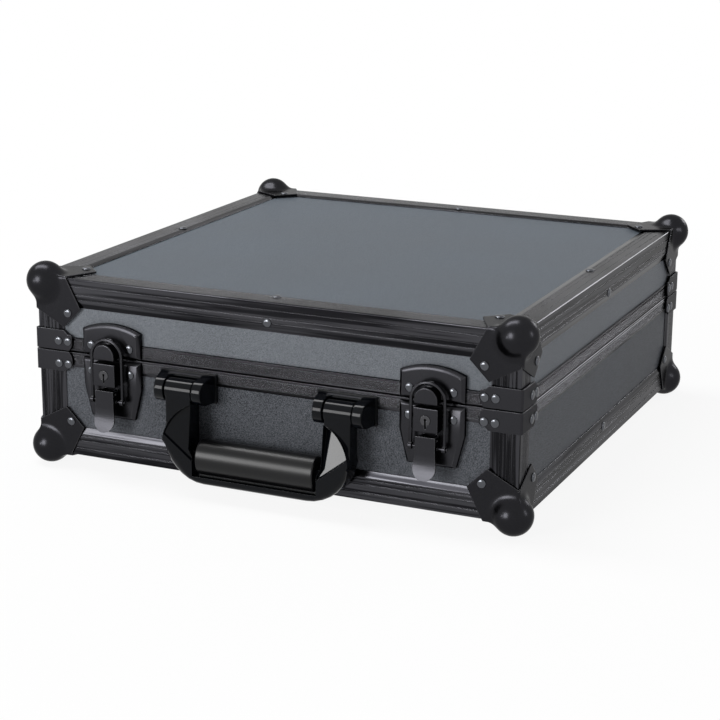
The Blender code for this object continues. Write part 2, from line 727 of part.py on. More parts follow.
def build_foam(case):
    inset = PANEL_INNER + FOAM_GAP
    foot = PANEL_INSET + PANEL_THICKNESS + FOAM_GAP
    floor = panel_box(inset + WALL_FOAM + FOAM_GAP, foot, foot + FLOOR_FOAM)
    case.add("base_floor_foam", floor, "foam_grey")
    wall_top = BASE_TOP - CLOSING_WEB - CLOSING_INNER_LEG - FOAM_GAP
    walls = wall_section(inset, inset + WALL_FOAM, foot, wall_top)
    case.add("base_wall_foam", ring_mesh(walls), "foam_grey")
    top = CASE_HEIGHT - PANEL_INSET - PANEL_THICKNESS - FOAM_GAP
    case.add("lid_egg_crate_foam", egg_crate_mesh(inset, top, top - LID_FOAM_BACKING), "foam_grey")


# Latches

def push_face(work, normal, inset, rise):
    """Insets the flat face that points along the normal and moves its middle along it."""
    work.normal_update()
    faces = [face for face in work.faces if face.normal.dot(normal) > 0.9]
    bmesh.ops.inset_region(work, faces=faces, thickness=inset)
    points = list({vertex for face in faces for vertex in face.verts})
    bmesh.ops.translate(work, verts=points, vec=normal * rise)


def dish_mesh(outline, faces_out, zone):
    """A pressed plate with sloping sides, hollow behind, on the panel and over the profile zone."""
    mesh = outline_mesh(outline, PANEL_SEAT, PLATE_RIM, faces_out)
    normal = faces_out.to_3x3() @ Vector((0, 0, 1))
    work = bmesh.new()
    work.from_mesh(mesh)
    push_face(work, normal, PLATE_SLOPE, PLATE_PROUD - PLATE_RIM)
    push_face(work, -normal, PLATE_SLOPE + PLATE_WALL, PANEL_SEAT + PLATE_WALL - PLATE_PROUD)
    work.to_mesh(mesh)
    work.free()
    profile_zone = box_mesh((-PLATE_WIDTH, zone[0], PANEL_SEAT * 2), (PLATE_WIDTH, zone[1], SEAT_GAP))
    profile_zone.transform(faces_out)
    return combine([mesh, tidy(profile_zone)], "DIFFERENCE")


def keeper_mesh(front):
    foot = KEEPER_LOW
    side = foot + KEEPER_HEIGHT - KEEPER_ARCH
    half = PLATE_WIDTH / 2
    radius = (half * half + KEEPER_ARCH * KEEPER_ARCH) / (2 * KEEPER_ARCH)
    spread = math.degrees(math.asin(half / radius))
    centre = (0.0, side + KEEPER_ARCH - radius)
    outline = [(-half, foot), (half, foot)] + arc(centre, radius, 90 - spread, 90 + spread, 12)
    plate = dish_mesh(outline, front, (0.0, LID_BAND_TOP + SEAT_GAP))
    head = outline_mesh(boss_outline(0.0), BOSS_NECK_PROUD, BOSS_PROUD, front)
    neck = outline_mesh(boss_outline(BOSS_OVERHANG), PLATE_ROOT, BOSS_PROUD - BOSS_EDGE, front)
    reach = NUB_WIDTH / 2
    nub = outline_mesh([(-reach, foot + BOSS_STRAIGHT), (reach, foot + BOSS_STRAIGHT),
                        (reach, foot + NUB_TOP), (-reach, foot + NUB_TOP)], PLATE_ROOT, NUB_PROUD, front)
    parts = [plate, bevelled(head, BOSS_EDGE, 2, 30), neck, bevelled(nub, NUB_EDGE, 2, 50)]
    return combine(parts, "UNION")


def boss_outline(inset):
    """Arched outline of the boss that the bail goes over, drawn in by the inset."""
    half = BOSS_WIDTH / 2 - inset
    spring = KEEPER_LOW + BOSS_STRAIGHT
    rise = BOSS_HEIGHT - BOSS_STRAIGHT - inset
    crown = []
    for step in range(BOSS_STEPS + 1):
        angle = math.pi * step / BOSS_STEPS
        crown.append((half * math.cos(angle), spring + rise * math.sin(angle)))
    return [(-half, KEEPER_LOW), (half, KEEPER_LOW)] + crown


def latch_base_mesh(front):
    """Tapered base plate with the lock housing, two ears and the lever's pin."""
    top = BASE_TOP - PLATE_TOP_DROP
    half = PLATE_WIDTH / 2
    shoulder = top - PLATE_STRAIGHT
    foot = shoulder - PLATE_TAPER_HEIGHT
    small = PLATE_TAPER_WIDTH / 2
    outline = [(-small, foot), (small, foot), (half, shoulder), (half, top), (-half, top), (-half, shoulder)]
    plate = dish_mesh(outline, front, (BASE_BAND_FOOT - SEAT_GAP, CASE_HEIGHT))
    lock_top = PARTING_HEIGHT - LOCK_TOP_DROP
    lock_foot = lock_top - LOCK_HEIGHT
    lock = bevelled(outline_mesh([(-LOCK_WIDTH / 2, lock_foot), (LOCK_WIDTH / 2, lock_foot),
                                  (LOCK_WIDTH / 2, lock_top), (-LOCK_WIDTH / 2, lock_top)],
                                 PLATE_ROOT, LOCK_PROUD, front), LOCK_EDGE)
    ear_end = LEVER_WIDTH / 2 - LEVER_SHEET - EAR_GAP
    ear = [(-PLATE_ROOT, LEVER_PIN_Z - EAR_RADIUS)]
    ear += arc((-LEVER_PIN_STANDOFF, LEVER_PIN_Z), EAR_RADIUS, 270, 90, 6)
    ear += [(-PLATE_ROOT, LEVER_PIN_Z + EAR_RADIUS)]
    ears = [outline_mesh(ear, low, low + EAR_WIDTH, profile_frame(front))
            for low in (-ear_end, ear_end - EAR_WIDTH)]
    pin_end = LEVER_WIDTH / 2 + PIN_GAP * 2
    pin = cylinder_mesh(LEVER_PIN_RADIUS, -pin_end, pin_end, lever_pin_frame(front), 16)
    whole = combine([plate, lock, *ears, pin], "UNION")
    place = front @ Matrix.Translation((0, LOCK_CENTRE_Z, 0))
    low = LOCK_PROUD - CORE_LENGTH - 2 * SEAT_GAP
    bore = cylinder_mesh(CORE_RADIUS + PIN_GAP, low, LOCK_PROUD + CORE_LENGTH, place, 28)
    return combine([whole, bore, key_slot_mesh(place)], "DIFFERENCE")


def profile_frame(front):
    """Local X into the case, local Y up, local Z to the right: for outlines seen from the side."""
    return front @ frame((0, 0, -1), (0, 1, 0), (1, 0, 0))


def lever_pin_frame(front):
    """Local Z along the lever's pin."""
    return front @ frame((0, 1, 0), (0, 0, 1), (1, 0, 0), (0, LEVER_PIN_Z, LEVER_PIN_STANDOFF))


def bail_pin_frame(front):
    """Local Z along the stubs that the bail turns on."""
    return front @ frame((0, 1, 0), (0, 0, 1), (1, 0, 0), (0, BAIL_AXIS_Z, BAIL_STANDOFF))


def key_slot_mesh(place):
    """Keyhole seen from the front: a round hole with a slot below it."""
    half = KEY_SLOT_WIDTH / 2
    outline = [(-half, 0.0), (-half, -KEY_SLOT_LENGTH), (half, -KEY_SLOT_LENGTH), (half, 0.0)]
    outline += arc((0.0, KEY_HOLE_RISE), KEY_HOLE_RADIUS, -45, 225, 9)
    return outline_mesh(outline, LOCK_PROUD - KEY_SLOT_DEPTH, LOCK_PROUD + KEY_SLOT_DEPTH, place)


def lock_core_mesh(front):
    place = front @ Matrix.Translation((0, LOCK_CENTRE_Z, 0))
    low = LOCK_PROUD - CORE_LENGTH - SEAT_GAP
    core = cylinder_mesh(CORE_RADIUS, low, LOCK_PROUD + CORE_PROUD, place, 28)
    return combine([core, key_slot_mesh(place)], "DIFFERENCE")


def lever_sheet_mesh(front):
    """Pressed face of the lever: flat at the top, curving out to a round tongue."""
    top = LEVER_PIN_Z + LEVER_TOP_RISE
    straight = LEVER_TOP_RISE + LEVER_STRAIGHT
    face = []
    for step in range(LEVER_STEPS + 1):
        share = step / LEVER_STEPS
        drop = straight + share * (LEVER_LENGTH - LEVER_STRAIGHT)
        face.append((-LEVER_PROUD - LEVER_FLARE * share ** 2, top - drop))
    face = [(-LEVER_PROUD, top)] + face
    strip = face + [(depth + LEVER_SHEET, height) for depth, height in reversed(face)]
    sheet = outline_mesh(strip, -LEVER_TIP_WIDTH, LEVER_TIP_WIDTH, profile_frame(front))
    half = LEVER_WIDTH / 2
    tip_half = LEVER_TIP_WIDTH / 2
    tip_centre = LEVER_PIN_Z - LEVER_LENGTH + tip_half
    shape = [(half, top), (-half, top), (-half, tip_centre + tip_half)]
    shape += arc((0.0, tip_centre), tip_half, 170, 370, 16) + [(half, tip_centre + tip_half)]
    return combine([sheet, outline_mesh(shape, 0.0, 2 * LEVER_PROUD, front)], "INTERSECT")


def lever_mesh(front):
    """Draw lever: a pressed channel with a tongue, pivot holes and the stubs for the bail."""
    side = profile_frame(front)
    half = LEVER_WIDTH / 2
    root = LEVER_SHEET / 2 - LEVER_PROUD
    cheek = [(root, LEVER_PIN_Z + LEVER_TOP_RISE - SEAT_GAP), (-CHEEK_BACK, LEVER_PIN_Z + CHEEK_RISE),
             (-CHEEK_BACK, BAIL_AXIS_Z - CHEEK_RISE), (root, BAIL_AXIS_Z - CHEEK_FALL)]
    parts = [lever_sheet_mesh(front)]
    for low in (-half, half - LEVER_SHEET):
        parts.append(outline_mesh(cheek, low, low + LEVER_SHEET, side))
    stub_end = BAIL_HALF_WIDTH + BAIL_WIRE_RADIUS + STUB_HEAD
    root = half - LEVER_SHEET / 2
    for low, high in ((-stub_end, -root), (root, stub_end)):
        parts.append(cylinder_mesh(LEVER_PIN_RADIUS, low, high, bail_pin_frame(front), 16))
    whole = combine(parts, "UNION")
    hole = cylinder_mesh(LEVER_PIN_RADIUS + PIN_GAP, -LEVER_WIDTH, LEVER_WIDTH, lever_pin_frame(front), 16)
    return combine([whole, hole], "DIFFERENCE")


def wire_mesh(points, radius, matrix):
    """A round wire along a line of points, its ends closed."""
    curve = bpy.data.curves.new("wire", "CURVE")
    curve.dimensions = "3D"
    curve.bevel_depth = radius
    curve.bevel_resolution = 2
    curve.use_fill_caps = True
    spline = curve.splines.new("POLY")
    spline.points.add(len(points) - 1)
    for point, spot in zip(spline.points, points):
        point.co = (*spot, 1)
    holder = bpy.data.objects.new("wire", curve)
    bpy.context.scene.collection.objects.link(holder)
    mesh = evaluated_mesh(holder)
    bpy.data.curves.remove(curve)
    mesh.transform(matrix)
    return tidy(mesh)


def bail_mesh(front):
    """Wire bail: two legs with eyes on the lever's stubs and a round arch over the boss."""
    spring = BAIL_AXIS_Z + BAIL_REACH + BAIL_WIRE_RADIUS - BAIL_HALF_WIDTH
    foot = BAIL_AXIS_Z + BAIL_EYE_RADIUS / 2
    path = [(BAIL_HALF_WIDTH, foot)] + arc((0.0, spring), BAIL_HALF_WIDTH, 0, 180, 16)
    path += [(-BAIL_HALF_WIDTH, foot)]
    wire = wire_mesh([(x, z, BAIL_STANDOFF) for x, z in path], BAIL_WIRE_RADIUS, front)
    eyes = []
    for middle in (-BAIL_HALF_WIDTH, BAIL_HALF_WIDTH):
        eyes.append(cylinder_mesh(BAIL_EYE_RADIUS, middle - BAIL_EYE_HALF, middle + BAIL_EYE_HALF,
                                  bail_pin_frame(front), 18))
    whole = combine([wire, *eyes], "UNION")
    reach = 2 * BAIL_HALF_WIDTH
    hole = cylinder_mesh(LEVER_PIN_RADIUS + PIN_GAP, -reach, reach, bail_pin_frame(front), 16)
    return combine([whole, hole], "DIFFERENCE")


def build_latches(case):
    for name, sign in (("left", -1), ("right", 1)):
        middle = sign * LATCH_CENTRE
        front = front_frame((middle, FRONT_PLANE, 0))
        case.add(f"latch_{name}_keeper", keeper_mesh(front), "steel_black")
        case.add(f"latch_{name}_base_plate", latch_base_mesh(front), "steel_black")
        core_origin = (middle, FRONT_PLANE - LOCK_PROUD, LOCK_CENTRE_Z)
        case.add(f"latch_{name}_lock_core", lock_core_mesh(front), "lock_metal", core_origin)
        lever_origin = (middle, FRONT_PLANE - LEVER_PIN_STANDOFF, LEVER_PIN_Z)
        lever = case.add(f"latch_{name}_lever", lever_mesh(front), "steel_black", lever_origin)
        bail_origin = (middle, FRONT_PLANE - BAIL_STANDOFF, BAIL_AXIS_Z)
        case.add(f"latch_{name}_bail", bail_mesh(front), "steel_black", bail_origin, lever)


# Drop handle

def ear_mesh(front, low, high, draft_side):
    """One bracket ear, round in front of the pin, widening towards the case."""
    side = profile_frame(front)
    radius = HANDLE_EAR_RADIUS
    pin = (-HANDLE_PIN_STANDOFF, HANDLE_PIN_HEIGHT)
    outline = [(-HANDLE_EAR_ROOT, HANDLE_PIN_HEIGHT - radius)] + arc(pin, radius, 270, 90, 12)
    outline += [(-HANDLE_EAR_ROOT, HANDLE_PIN_HEIGHT + radius + HANDLE_EAR_RISE)]
    mesh = outline_mesh(outline, low, high, side)
    middle = (low + high) / 2
    nose = FRONT_PLANE - HANDLE_PIN_STANDOFF - radius
    for vertex in mesh.vertices:
        if (vertex.co.x - front.translation.x - middle) * draft_side > 0:
            share = (vertex.co.y - nose) / (FRONT_PLANE - nose)
            vertex.co.x += draft_side * HANDLE_EAR_DRAFT * share
    return bevelled(mesh, HANDLE_EAR_EDGE, 2, 50)


def seat_pad(front, half, low, high, thickness):
    """Pad under a plate that overhangs the closing profile, down to the panel."""
    pad = [(-half, low), (half, low), (half, high), (-half, high)]
    return outline_mesh(pad, PANEL_SEAT, SEAT_GAP + thickness / 2, front)


def bracket_mesh(front):
    """Handle bracket: back plate, two ears, a hood over the barrel and the pin."""
    inner = HANDLE_ARM_WIDTH / 2 + HANDLE_EAR_GAP
    outer = inner + HANDLE_EAR_WIDTH
    half = outer + HANDLE_EAR_DRAFT + HANDLE_PLATE_RIM
    low = HANDLE_PIN_HEIGHT - HANDLE_EAR_RADIUS - HANDLE_PLATE_RIM
    high = HANDLE_PIN_HEIGHT + HANDLE_EAR_RADIUS + HANDLE_EAR_RISE + HANDLE_PLATE_RIM
    plate = outline_mesh([(-half, low), (half, low), (half, high), (-half, high)], SEAT_GAP,
                         HANDLE_PLATE_THICKNESS, front)
    pad = seat_pad(front, half - SEAT_GAP, low + SEAT_GAP, BASE_BAND_FOOT - SEAT_GAP, HANDLE_PLATE_THICKNESS)
    ears = [ear_mesh(front, -outer, -inner, -1), ear_mesh(front, inner, outer, 1)]
    hood_half = inner + HANDLE_EAR_WIDTH / 4
    hood_top = HANDLE_PIN_HEIGHT + HANDLE_EAR_RADIUS + HANDLE_EAR_RISE - SEAT_GAP
    hood_foot = hood_top - HANDLE_HOOD_THICKNESS
    hood = outline_mesh([(-hood_half, hood_foot), (hood_half, hood_foot), (hood_half, hood_top),
                         (-hood_half, hood_top)], HANDLE_EAR_ROOT, HANDLE_HOOD, front)
    pin_length = outer - HANDLE_EAR_WIDTH / 4
    pin = cylinder_mesh(HANDLE_PIN_RADIUS, -pin_length, pin_length, handle_pin_frame(front), 20)
    return combine([plate, pad, *ears, hood, pin], "UNION")


def handle_pin_frame(front):
    """Local Z along the handle's pin."""
    return front @ frame((0, 1, 0), (0, 0, 1), (1, 0, 0), (0, HANDLE_PIN_HEIGHT, HANDLE_PIN_STANDOFF))


def stacked_mesh(rings, matrix):
    """Solid through a stack of rings of (x, y, z) points, with a flat face at each end."""
    count = len(rings[0])
    points = [point for ring in rings for point in ring]
    faces = [list(range(count))]
    for ring in range(len(rings) - 1):
        for index in range(count):
            a = ring * count + index
            b = ring * count + (index + 1) % count
            faces.append([a, b, b + count])
            faces.append([a, b + count, a + count])
    faces.append(list(range((len(rings) - 1) * count, len(rings) * count)))
    mesh = bpy.data.meshes.new("stack")
    mesh.from_pydata(points, [], faces)
    mesh.transform(matrix)
    return tidy(mesh)


def swell_inset(point, centre):
    """How far a point of the foot moves towards its corner's centre at the front face."""
    turn = math.degrees(math.atan2(centre[1] - point[1], abs(point[0]) - centre[0]))
    for (low, near), (high, far) in zip(HANDLE_SWELL_ROUNDING, HANDLE_SWELL_ROUNDING[1:]):
        if low <= turn <= high:
            return near + (far - near) * (turn - low) / (high - low)
    return HANDLE_SWELL_ROUNDING[-1][1]


def handle_swell_mesh(front):
    """Lower body of the handle: it swells forward below an arc across each arm."""
    inner = HANDLE_ARM_INNER
    outer = HANDLE_ARM_OUTER
    corner = (outer - HANDLE_CORNER_RADIUS, HANDLE_FOOT + HANDLE_CORNER_RADIUS)
    foot_arcs = arc((-corner[0], corner[1]), HANDLE_CORNER_RADIUS, 180, 270, 8)[1:]
    foot_arcs += arc(corner, HANDLE_CORNER_RADIUS, 270, 360, 8)[:-1]
    window_foot = HANDLE_FOOT + HANDLE_RIM
    stepped = inner - HANDLE_WINDOW_STEP
    step = window_foot + HANDLE_STEP_HEIGHT
    window = [(inner, step + HANDLE_WINDOW_CHAMFER), (stepped, step), (stepped, window_foot)]
    window += [(-x, y) for x, y in reversed(window)]
    start = math.radians(HANDLE_SWELL_START)
    centre = (inner - HANDLE_SWELL_RADIUS * math.cos(start),
              HANDLE_SWELL_TOP - HANDLE_SWELL_RADIUS * math.sin(start))
    right = arc(centre, HANDLE_SWELL_RADIUS, HANDLE_SWELL_END, HANDLE_SWELL_START, 10)
    right[0] = (outer, right[0][1])
    left = [(-x, y) for x, y in reversed(right)]
    rings = [[(x, y, HANDLE_BACK) for x, y in left + foot_arcs + right + window]]
    for step in range(HANDLE_SWELL_STEPS + 1):
        turn = math.pi / 2 * step / HANDLE_SWELL_STEPS
        proud = HANDLE_FRONT + (HANDLE_SWELL_FRONT - HANDLE_FRONT) * math.sin(turn)
        foot = []
        for x, y in foot_arcs:
            share = swell_inset((x, y), corner) * (1 - math.cos(turn)) / HANDLE_CORNER_RADIUS
            middle = math.copysign(corner[0], x)
            foot.append((x + (middle - x) * share, y + (corner[1] - y) * share))
        rings.append([(x, y, proud) for x, y in left + foot + right + window])
    ramps = []
    for sign in (-1, 1):
        out = Vector((-sign * HANDLE_RAMP_OUT, HANDLE_RAMP_DOWN, 1)).normalized()
        across = Vector((0, 1, 0)).cross(out).normalized()
        place = front @ frame(across, out.cross(across), out, (sign * inner, HANDLE_SWELL_TOP, HANDLE_FRONT))
        low, high = sorted((-sign * HANDLE_RAMP_INSIDE, sign * 2 * HANDLE_ARM_WIDTH))
        square = [(low, -2 * HANDLE_CORNER_RADIUS), (high, -2 * HANDLE_CORNER_RADIUS),
                  (high, HANDLE_ARM_WIDTH), (low, HANDLE_ARM_WIDTH)]
        ramps.append(outline_mesh(square, 0, HANDLE_FRONT, place))
    return combine([stacked_mesh(rings, front), *ramps], "DIFFERENCE")


def handle_loop_mesh(front):
    """D shaped handle: two arms with barrels, a bottom rim and the core bar inside the grip."""
    inner = HANDLE_ARM_INNER
    outer = HANDLE_ARM_OUTER
    window_foot = HANDLE_FOOT + HANDLE_RIM
    parts = [handle_swell_mesh(front)]
    for sign in (-1, 1):
        low, high = sorted((sign * (inner + HANDLE_ARM_SET), sign * (outer - HANDLE_ARM_SET)))
        bar = [(low, HANDLE_ARM_FOOT), (high, HANDLE_ARM_FOOT), (high, HANDLE_PIN_HEIGHT),
               (low, HANDLE_PIN_HEIGHT)]
        arm = outline_mesh(bar, HANDLE_BACK + HANDLE_ARM_SET, HANDLE_FRONT, front)
        parts.append(bevelled(arm, HANDLE_EDGE, 2, 50))
    pin_frame = handle_pin_frame(front)
    for low, high in ((-outer, -inner), (inner, outer)):
        parts.append(cylinder_mesh(HANDLE_BARREL_RADIUS, low, high, pin_frame, 32))
    core_low = GRIP_STANDOFF - GRIP_CORE_DEPTH / 2
    core = [(-inner, window_foot - GRIP_CORE_ROOT), (inner, window_foot - GRIP_CORE_ROOT),
            (inner, window_foot + GRIP_CORE_HEIGHT), (-inner, window_foot + GRIP_CORE_HEIGHT)]
    parts.append(outline_mesh(core, core_low, core_low + GRIP_CORE_DEPTH, front))
    whole = combine(parts, "UNION")
    bores = [cylinder_mesh(HANDLE_PIN_RADIUS + PIN_GAP, low, high, pin_frame, 20)
             for low, high in ((-outer - HANDLE_EAR_GAP, -inner + HANDLE_EAR_GAP),
                               (inner - HANDLE_EAR_GAP, outer + HANDLE_EAR_GAP))]
    return combine([whole, *bores], "DIFFERENCE")


def grip_mesh(front):
    """Soft grip: an oval sleeve that clips over the core bar, open below."""
    foot = HANDLE_FOOT + HANDLE_RIM + SEAT_GAP
    centre_z = foot + GRIP_HEIGHT / 2 - GRIP_FLAT
    side = profile_frame(front)
    oval = []
    for step in range(GRIP_SIDES):
        angle = math.tau * step / GRIP_SIDES
        y = -GRIP_STANDOFF + GRIP_DEPTH / 2 * math.cos(angle)
        oval.append((y, max(foot, centre_z + GRIP_HEIGHT / 2 * math.sin(angle))))
    sleeve = bevelled(outline_mesh(oval, -GRIP_LENGTH / 2, GRIP_LENGTH / 2, side), GRIP_FLAT, 1, 50)
    low = -GRIP_STANDOFF - GRIP_CORE_DEPTH / 2 - SEAT_GAP
    high = low + GRIP_CORE_DEPTH + 2 * SEAT_GAP
    core_top = HANDLE_FOOT + HANDLE_RIM + GRIP_CORE_HEIGHT + SEAT_GAP
    slot = outline_mesh([(low, -GRIP_HEIGHT), (high, -GRIP_HEIGHT), (high, core_top), (low, core_top)],
                        -GRIP_LENGTH, GRIP_LENGTH, side)
    return combine([sleeve, slot], "DIFFERENCE")


def build_handle(case):
    for name, sign in (("left", -1), ("right", 1)):
        front = front_frame((sign * HANDLE_ARM_CENTRE, FRONT_PLANE, 0))
        case.add(f"handle_bracket_{name}", bracket_mesh(front), "plastic_gloss")
    front = front_frame((0, FRONT_PLANE, 0))
    origin = (0, FRONT_PLANE - HANDLE_PIN_STANDOFF, HANDLE_PIN_HEIGHT)
    loop = case.add("handle_loop", handle_loop_mesh(front), "plastic_gloss", origin)
    case.add("handle_grip", grip_mesh(front), "grip_rubber", origin, loop)


# Hinges

def hinge_leaf_mesh(middle, up, knuckles):
    """One hinge leaf on the back face, with its share of the knuckles."""
    back = frame((1, 0, 0), (0, 0, 1), (0, 1, 0), (middle, BACK_PLANE, 0))
    half = HINGE_WIDTH / 2
    low = SEAT_GAP
    near = PARTING_HEIGHT + up * (HINGE_BARREL_RADIUS + HINGE_KNUCKLE_GAP)
    far = PARTING_HEIGHT + up * HINGE_LEAF_HEIGHT
    edge = HINGE_CHAMFER
    outline = [(-half, near), (half, near), (half, far - up * edge), (half - edge, far), (-half + edge, far),
               (-half, far - up * edge)]
    parts = [outline_mesh(outline, low, low + HINGE_LEAF_THICKNESS, back)]
    pitch = HINGE_WIDTH / HINGE_KNUCKLES
    axis = frame((0, 1, 0), (0, 0, 1), (1, 0, 0), (middle, HINGE_AXIS_Y, PARTING_HEIGHT))
    for knuckle in knuckles:
        start = -half + knuckle * pitch + HINGE_KNUCKLE_GAP / 2
        end = start + pitch - HINGE_KNUCKLE_GAP
        parts.append(cylinder_mesh(HINGE_BARREL_RADIUS, start, end, axis, 20))
        neck_high = near + up * 2 * SEAT_GAP
        neck = [(start, PARTING_HEIGHT), (end, PARTING_HEIGHT), (end, neck_high), (start, neck_high)]
        parts.append(outline_mesh(neck, low, low + HINGE_LEAF_THICKNESS, back))
    return combine(parts, "UNION"), axis


def build_hinges(case):
    half = HINGE_WIDTH / 2
    for name, sign in (("left", -1), ("right", 1)):
        middle = sign * HINGE_CENTRE
        base_leaf, axis = hinge_leaf_mesh(middle, -1, range(0, HINGE_KNUCKLES, 2))
        pin = cylinder_mesh(HINGE_PIN_RADIUS, -half + HINGE_KNUCKLE_GAP, half - HINGE_KNUCKLE_GAP, axis, 16)
        case.add(f"hinge_{name}_base_leaf", combine([base_leaf, pin], "UNION"), "steel_black")
        lid_leaf, axis = hinge_leaf_mesh(middle, 1, range(1, HINGE_KNUCKLES, 2))
        bore = cylinder_mesh(HINGE_PIN_RADIUS + PIN_GAP, -half, half, axis, 16)
        case.add(f"hinge_{name}_lid_leaf", combine([lid_leaf, bore], "DIFFERENCE"), "steel_black")


def main():
    clear_scene()
    case = Builder()
    build_panels(case)
    build_foam(case)
    build_edge_profiles(case, "base", False)
    build_edge_profiles(case, "lid", True)
    build_posts(case, "base", PROFILE_LEG, BASE_BAND_FOOT)
    build_posts(case, "lid", LID_BAND_TOP, CASE_HEIGHT - PROFILE_LEG)
    case.add("base_closing_profile", ring_mesh(base_closing_section()), "profile_black")
    case.add("lid_closing_profile", ring_mesh(lid_closing_section()), "profile_black")
    for part, top in (("base", False), ("lid", True)):
        build_ball_corners(case, part, top)
        build_braces(case, part, top)
    build_latches(case)
    build_handle(case)
    build_hinges(case)


main()
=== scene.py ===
"""Dressed model of a low foam-lined flight case with its latches and drop handle.

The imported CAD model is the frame. Every piece here is placed from its nodes, in
metres, in the same frame, and rides on one of its bodies. X runs to the right
seen from the latches, Y to the back and Z up.
"""

import json
import logging
import math
import sys
from dataclasses import dataclass, field, replace
from enum import Enum
from typing import Callable

import bmesh
import bpy
from bmesh.types import BMFace
from bpy.types import Material, Node, NodeSocket, Object, World
from mathutils import Matrix, Vector

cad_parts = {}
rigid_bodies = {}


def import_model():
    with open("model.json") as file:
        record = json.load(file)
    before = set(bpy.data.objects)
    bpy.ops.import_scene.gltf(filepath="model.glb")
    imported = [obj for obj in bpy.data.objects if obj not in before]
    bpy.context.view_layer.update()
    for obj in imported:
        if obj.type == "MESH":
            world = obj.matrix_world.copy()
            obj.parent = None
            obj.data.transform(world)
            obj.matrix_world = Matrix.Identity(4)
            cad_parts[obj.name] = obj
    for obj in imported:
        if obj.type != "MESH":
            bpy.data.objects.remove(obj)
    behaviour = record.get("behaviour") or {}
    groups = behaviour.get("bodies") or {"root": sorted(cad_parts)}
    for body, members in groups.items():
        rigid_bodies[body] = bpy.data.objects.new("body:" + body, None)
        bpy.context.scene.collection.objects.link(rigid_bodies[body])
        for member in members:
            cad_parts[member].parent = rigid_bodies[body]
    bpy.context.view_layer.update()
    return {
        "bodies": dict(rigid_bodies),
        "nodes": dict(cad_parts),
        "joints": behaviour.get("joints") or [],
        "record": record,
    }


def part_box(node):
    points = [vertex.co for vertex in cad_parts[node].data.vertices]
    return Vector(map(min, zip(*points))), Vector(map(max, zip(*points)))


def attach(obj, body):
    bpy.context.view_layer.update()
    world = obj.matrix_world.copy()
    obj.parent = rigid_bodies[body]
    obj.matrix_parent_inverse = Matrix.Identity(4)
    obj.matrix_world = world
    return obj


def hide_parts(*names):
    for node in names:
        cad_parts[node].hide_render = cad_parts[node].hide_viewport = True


LOG = logging.getLogger("flight_case")

# Points closer than this, in metres, count as one
TOUCHING = 1e-6
# Triangles that bend less than this are joined into one flat face
FLAT_ANGLE = math.radians(0.2)
# Bends sharper than this are rounded, on hard pieces and on foam
HARD_BEND = math.radians(50)
FOAM_BEND = math.radians(60)
# A normal with more than this along an axis counts as facing that way
FACING = 0.9

NOISE_MIDDLE = 0.5
GRAIN_OCTAVES = 3.0
CLOUD_OCTAVES = 4.0
# Spans of the cloud noise that shift tone, the edge wear with its painted edge highlight, and
# roughness
TONE_CLOUD = (0.35, 0.65)
WEAR_HIGHLIGHT_CLOUD = (0.35, 0.60)
ROUGH_CLOUD = (0.30, 0.70)
# How much of the edge wear and painted edge highlight is left where the clouds are thin and thick
WEAR_HIGHLIGHT_LEFT = (0.5, 1.0)
# Cosines of the bend where the edge wear and painted edge highlight start and where they are full
WEAR_HIGHLIGHT_COSINES = (0.98, 0.80)
BEVEL_SAMPLES = 4
# Sockets of the mix node that carry colours
MIX_FIRST, MIX_SECOND, MIX_RESULT = 6, 7, 2

Colour = tuple[float, float, float]


# Edit mode helpers

def select_only(*objects: Object) -> None:
    """Selects these objects alone and makes the first one active.

    Args:
        objects: the objects to select.
    """
    for item in bpy.context.scene.objects:
        item.select_set(False)
    for item in objects:
        item.select_set(True)
    bpy.context.view_layer.objects.active = objects[0]


def open_edit(piece: Object) -> None:
    """Opens a piece in edit mode with nothing selected.

    Args:
        piece: the mesh object to edit.
    """
    select_only(piece)
    bpy.ops.object.mode_set(mode="EDIT")
    bpy.ops.mesh.select_mode(type="VERT")
    bpy.ops.mesh.select_all(action="DESELECT")


def close_edit() -> None:
    """Leaves edit mode."""
    bpy.ops.object.mode_set(mode="OBJECT")


def pick_faces(piece: Object, test: Callable[[BMFace], bool]) -> int:
    """Selects the faces of the piece in edit mode that pass a test, and no others.

    Args:
        piece: the piece in edit mode.
        test: says whether a face is wanted.

    Returns:
        How many faces are selected.
    """
    bpy.ops.mesh.select_mode(type="FACE")
    bpy.ops.mesh.select_all(action="DESELECT")
    mesh = bmesh.from_edit_mesh(piece.data)
    mesh.normal_update()
    for face in mesh.faces:
        face.select = test(face)
    mesh.select_flush_mode()
    bmesh.update_edit_mesh(piece.data)
    return sum(face.select for face in mesh.faces)


def apply_modifier(piece: Object, kind: str, **values: object) -> None:
    """Adds a modifier to a piece and applies it.

    Args:
        piece: the mesh object.
        kind: the modifier's type.
        values: its settings.
    """
    select_only(piece)
    step = piece.modifiers.new(kind.lower(), kind)
    for name, value in values.items():
        setattr(step, name, value)
    bpy.ops.object.modifier_apply(modifier=step.name)


def round_edges(piece: Object, width: float, segments: int = 2, bend: float = HARD_BEND) -> None:
    """Rounds the sharp edges of a piece.

    Args:
        piece: the mesh object.
        width: the width of a rounded edge.
        segments: how many faces lie across it.
        bend: edges that bend more than this, in radians, are rounded.
    """
    apply_modifier(piece, "BEVEL", width=width, segments=segments, limit_method="ANGLE",
                   angle_limit=bend)


def clean(piece: Object, flatten: bool = False) -> None:
    """Joins a piece's doubled points and turns its faces outwards.

    Args:
        piece: the mesh object.
        flatten: whether triangles that lie flat are joined too.
    """
    open_edit(piece)
    bpy.ops.mesh.select_all(action="SELECT")
    bpy.ops.mesh.remove_doubles(threshold=TOUCHING)
    if flatten:
        bpy.ops.mesh.dissolve_limited(angle_limit=FLAT_ANGLE)
    bpy.ops.mesh.normals_make_consistent(inside=False)
    close_edit()


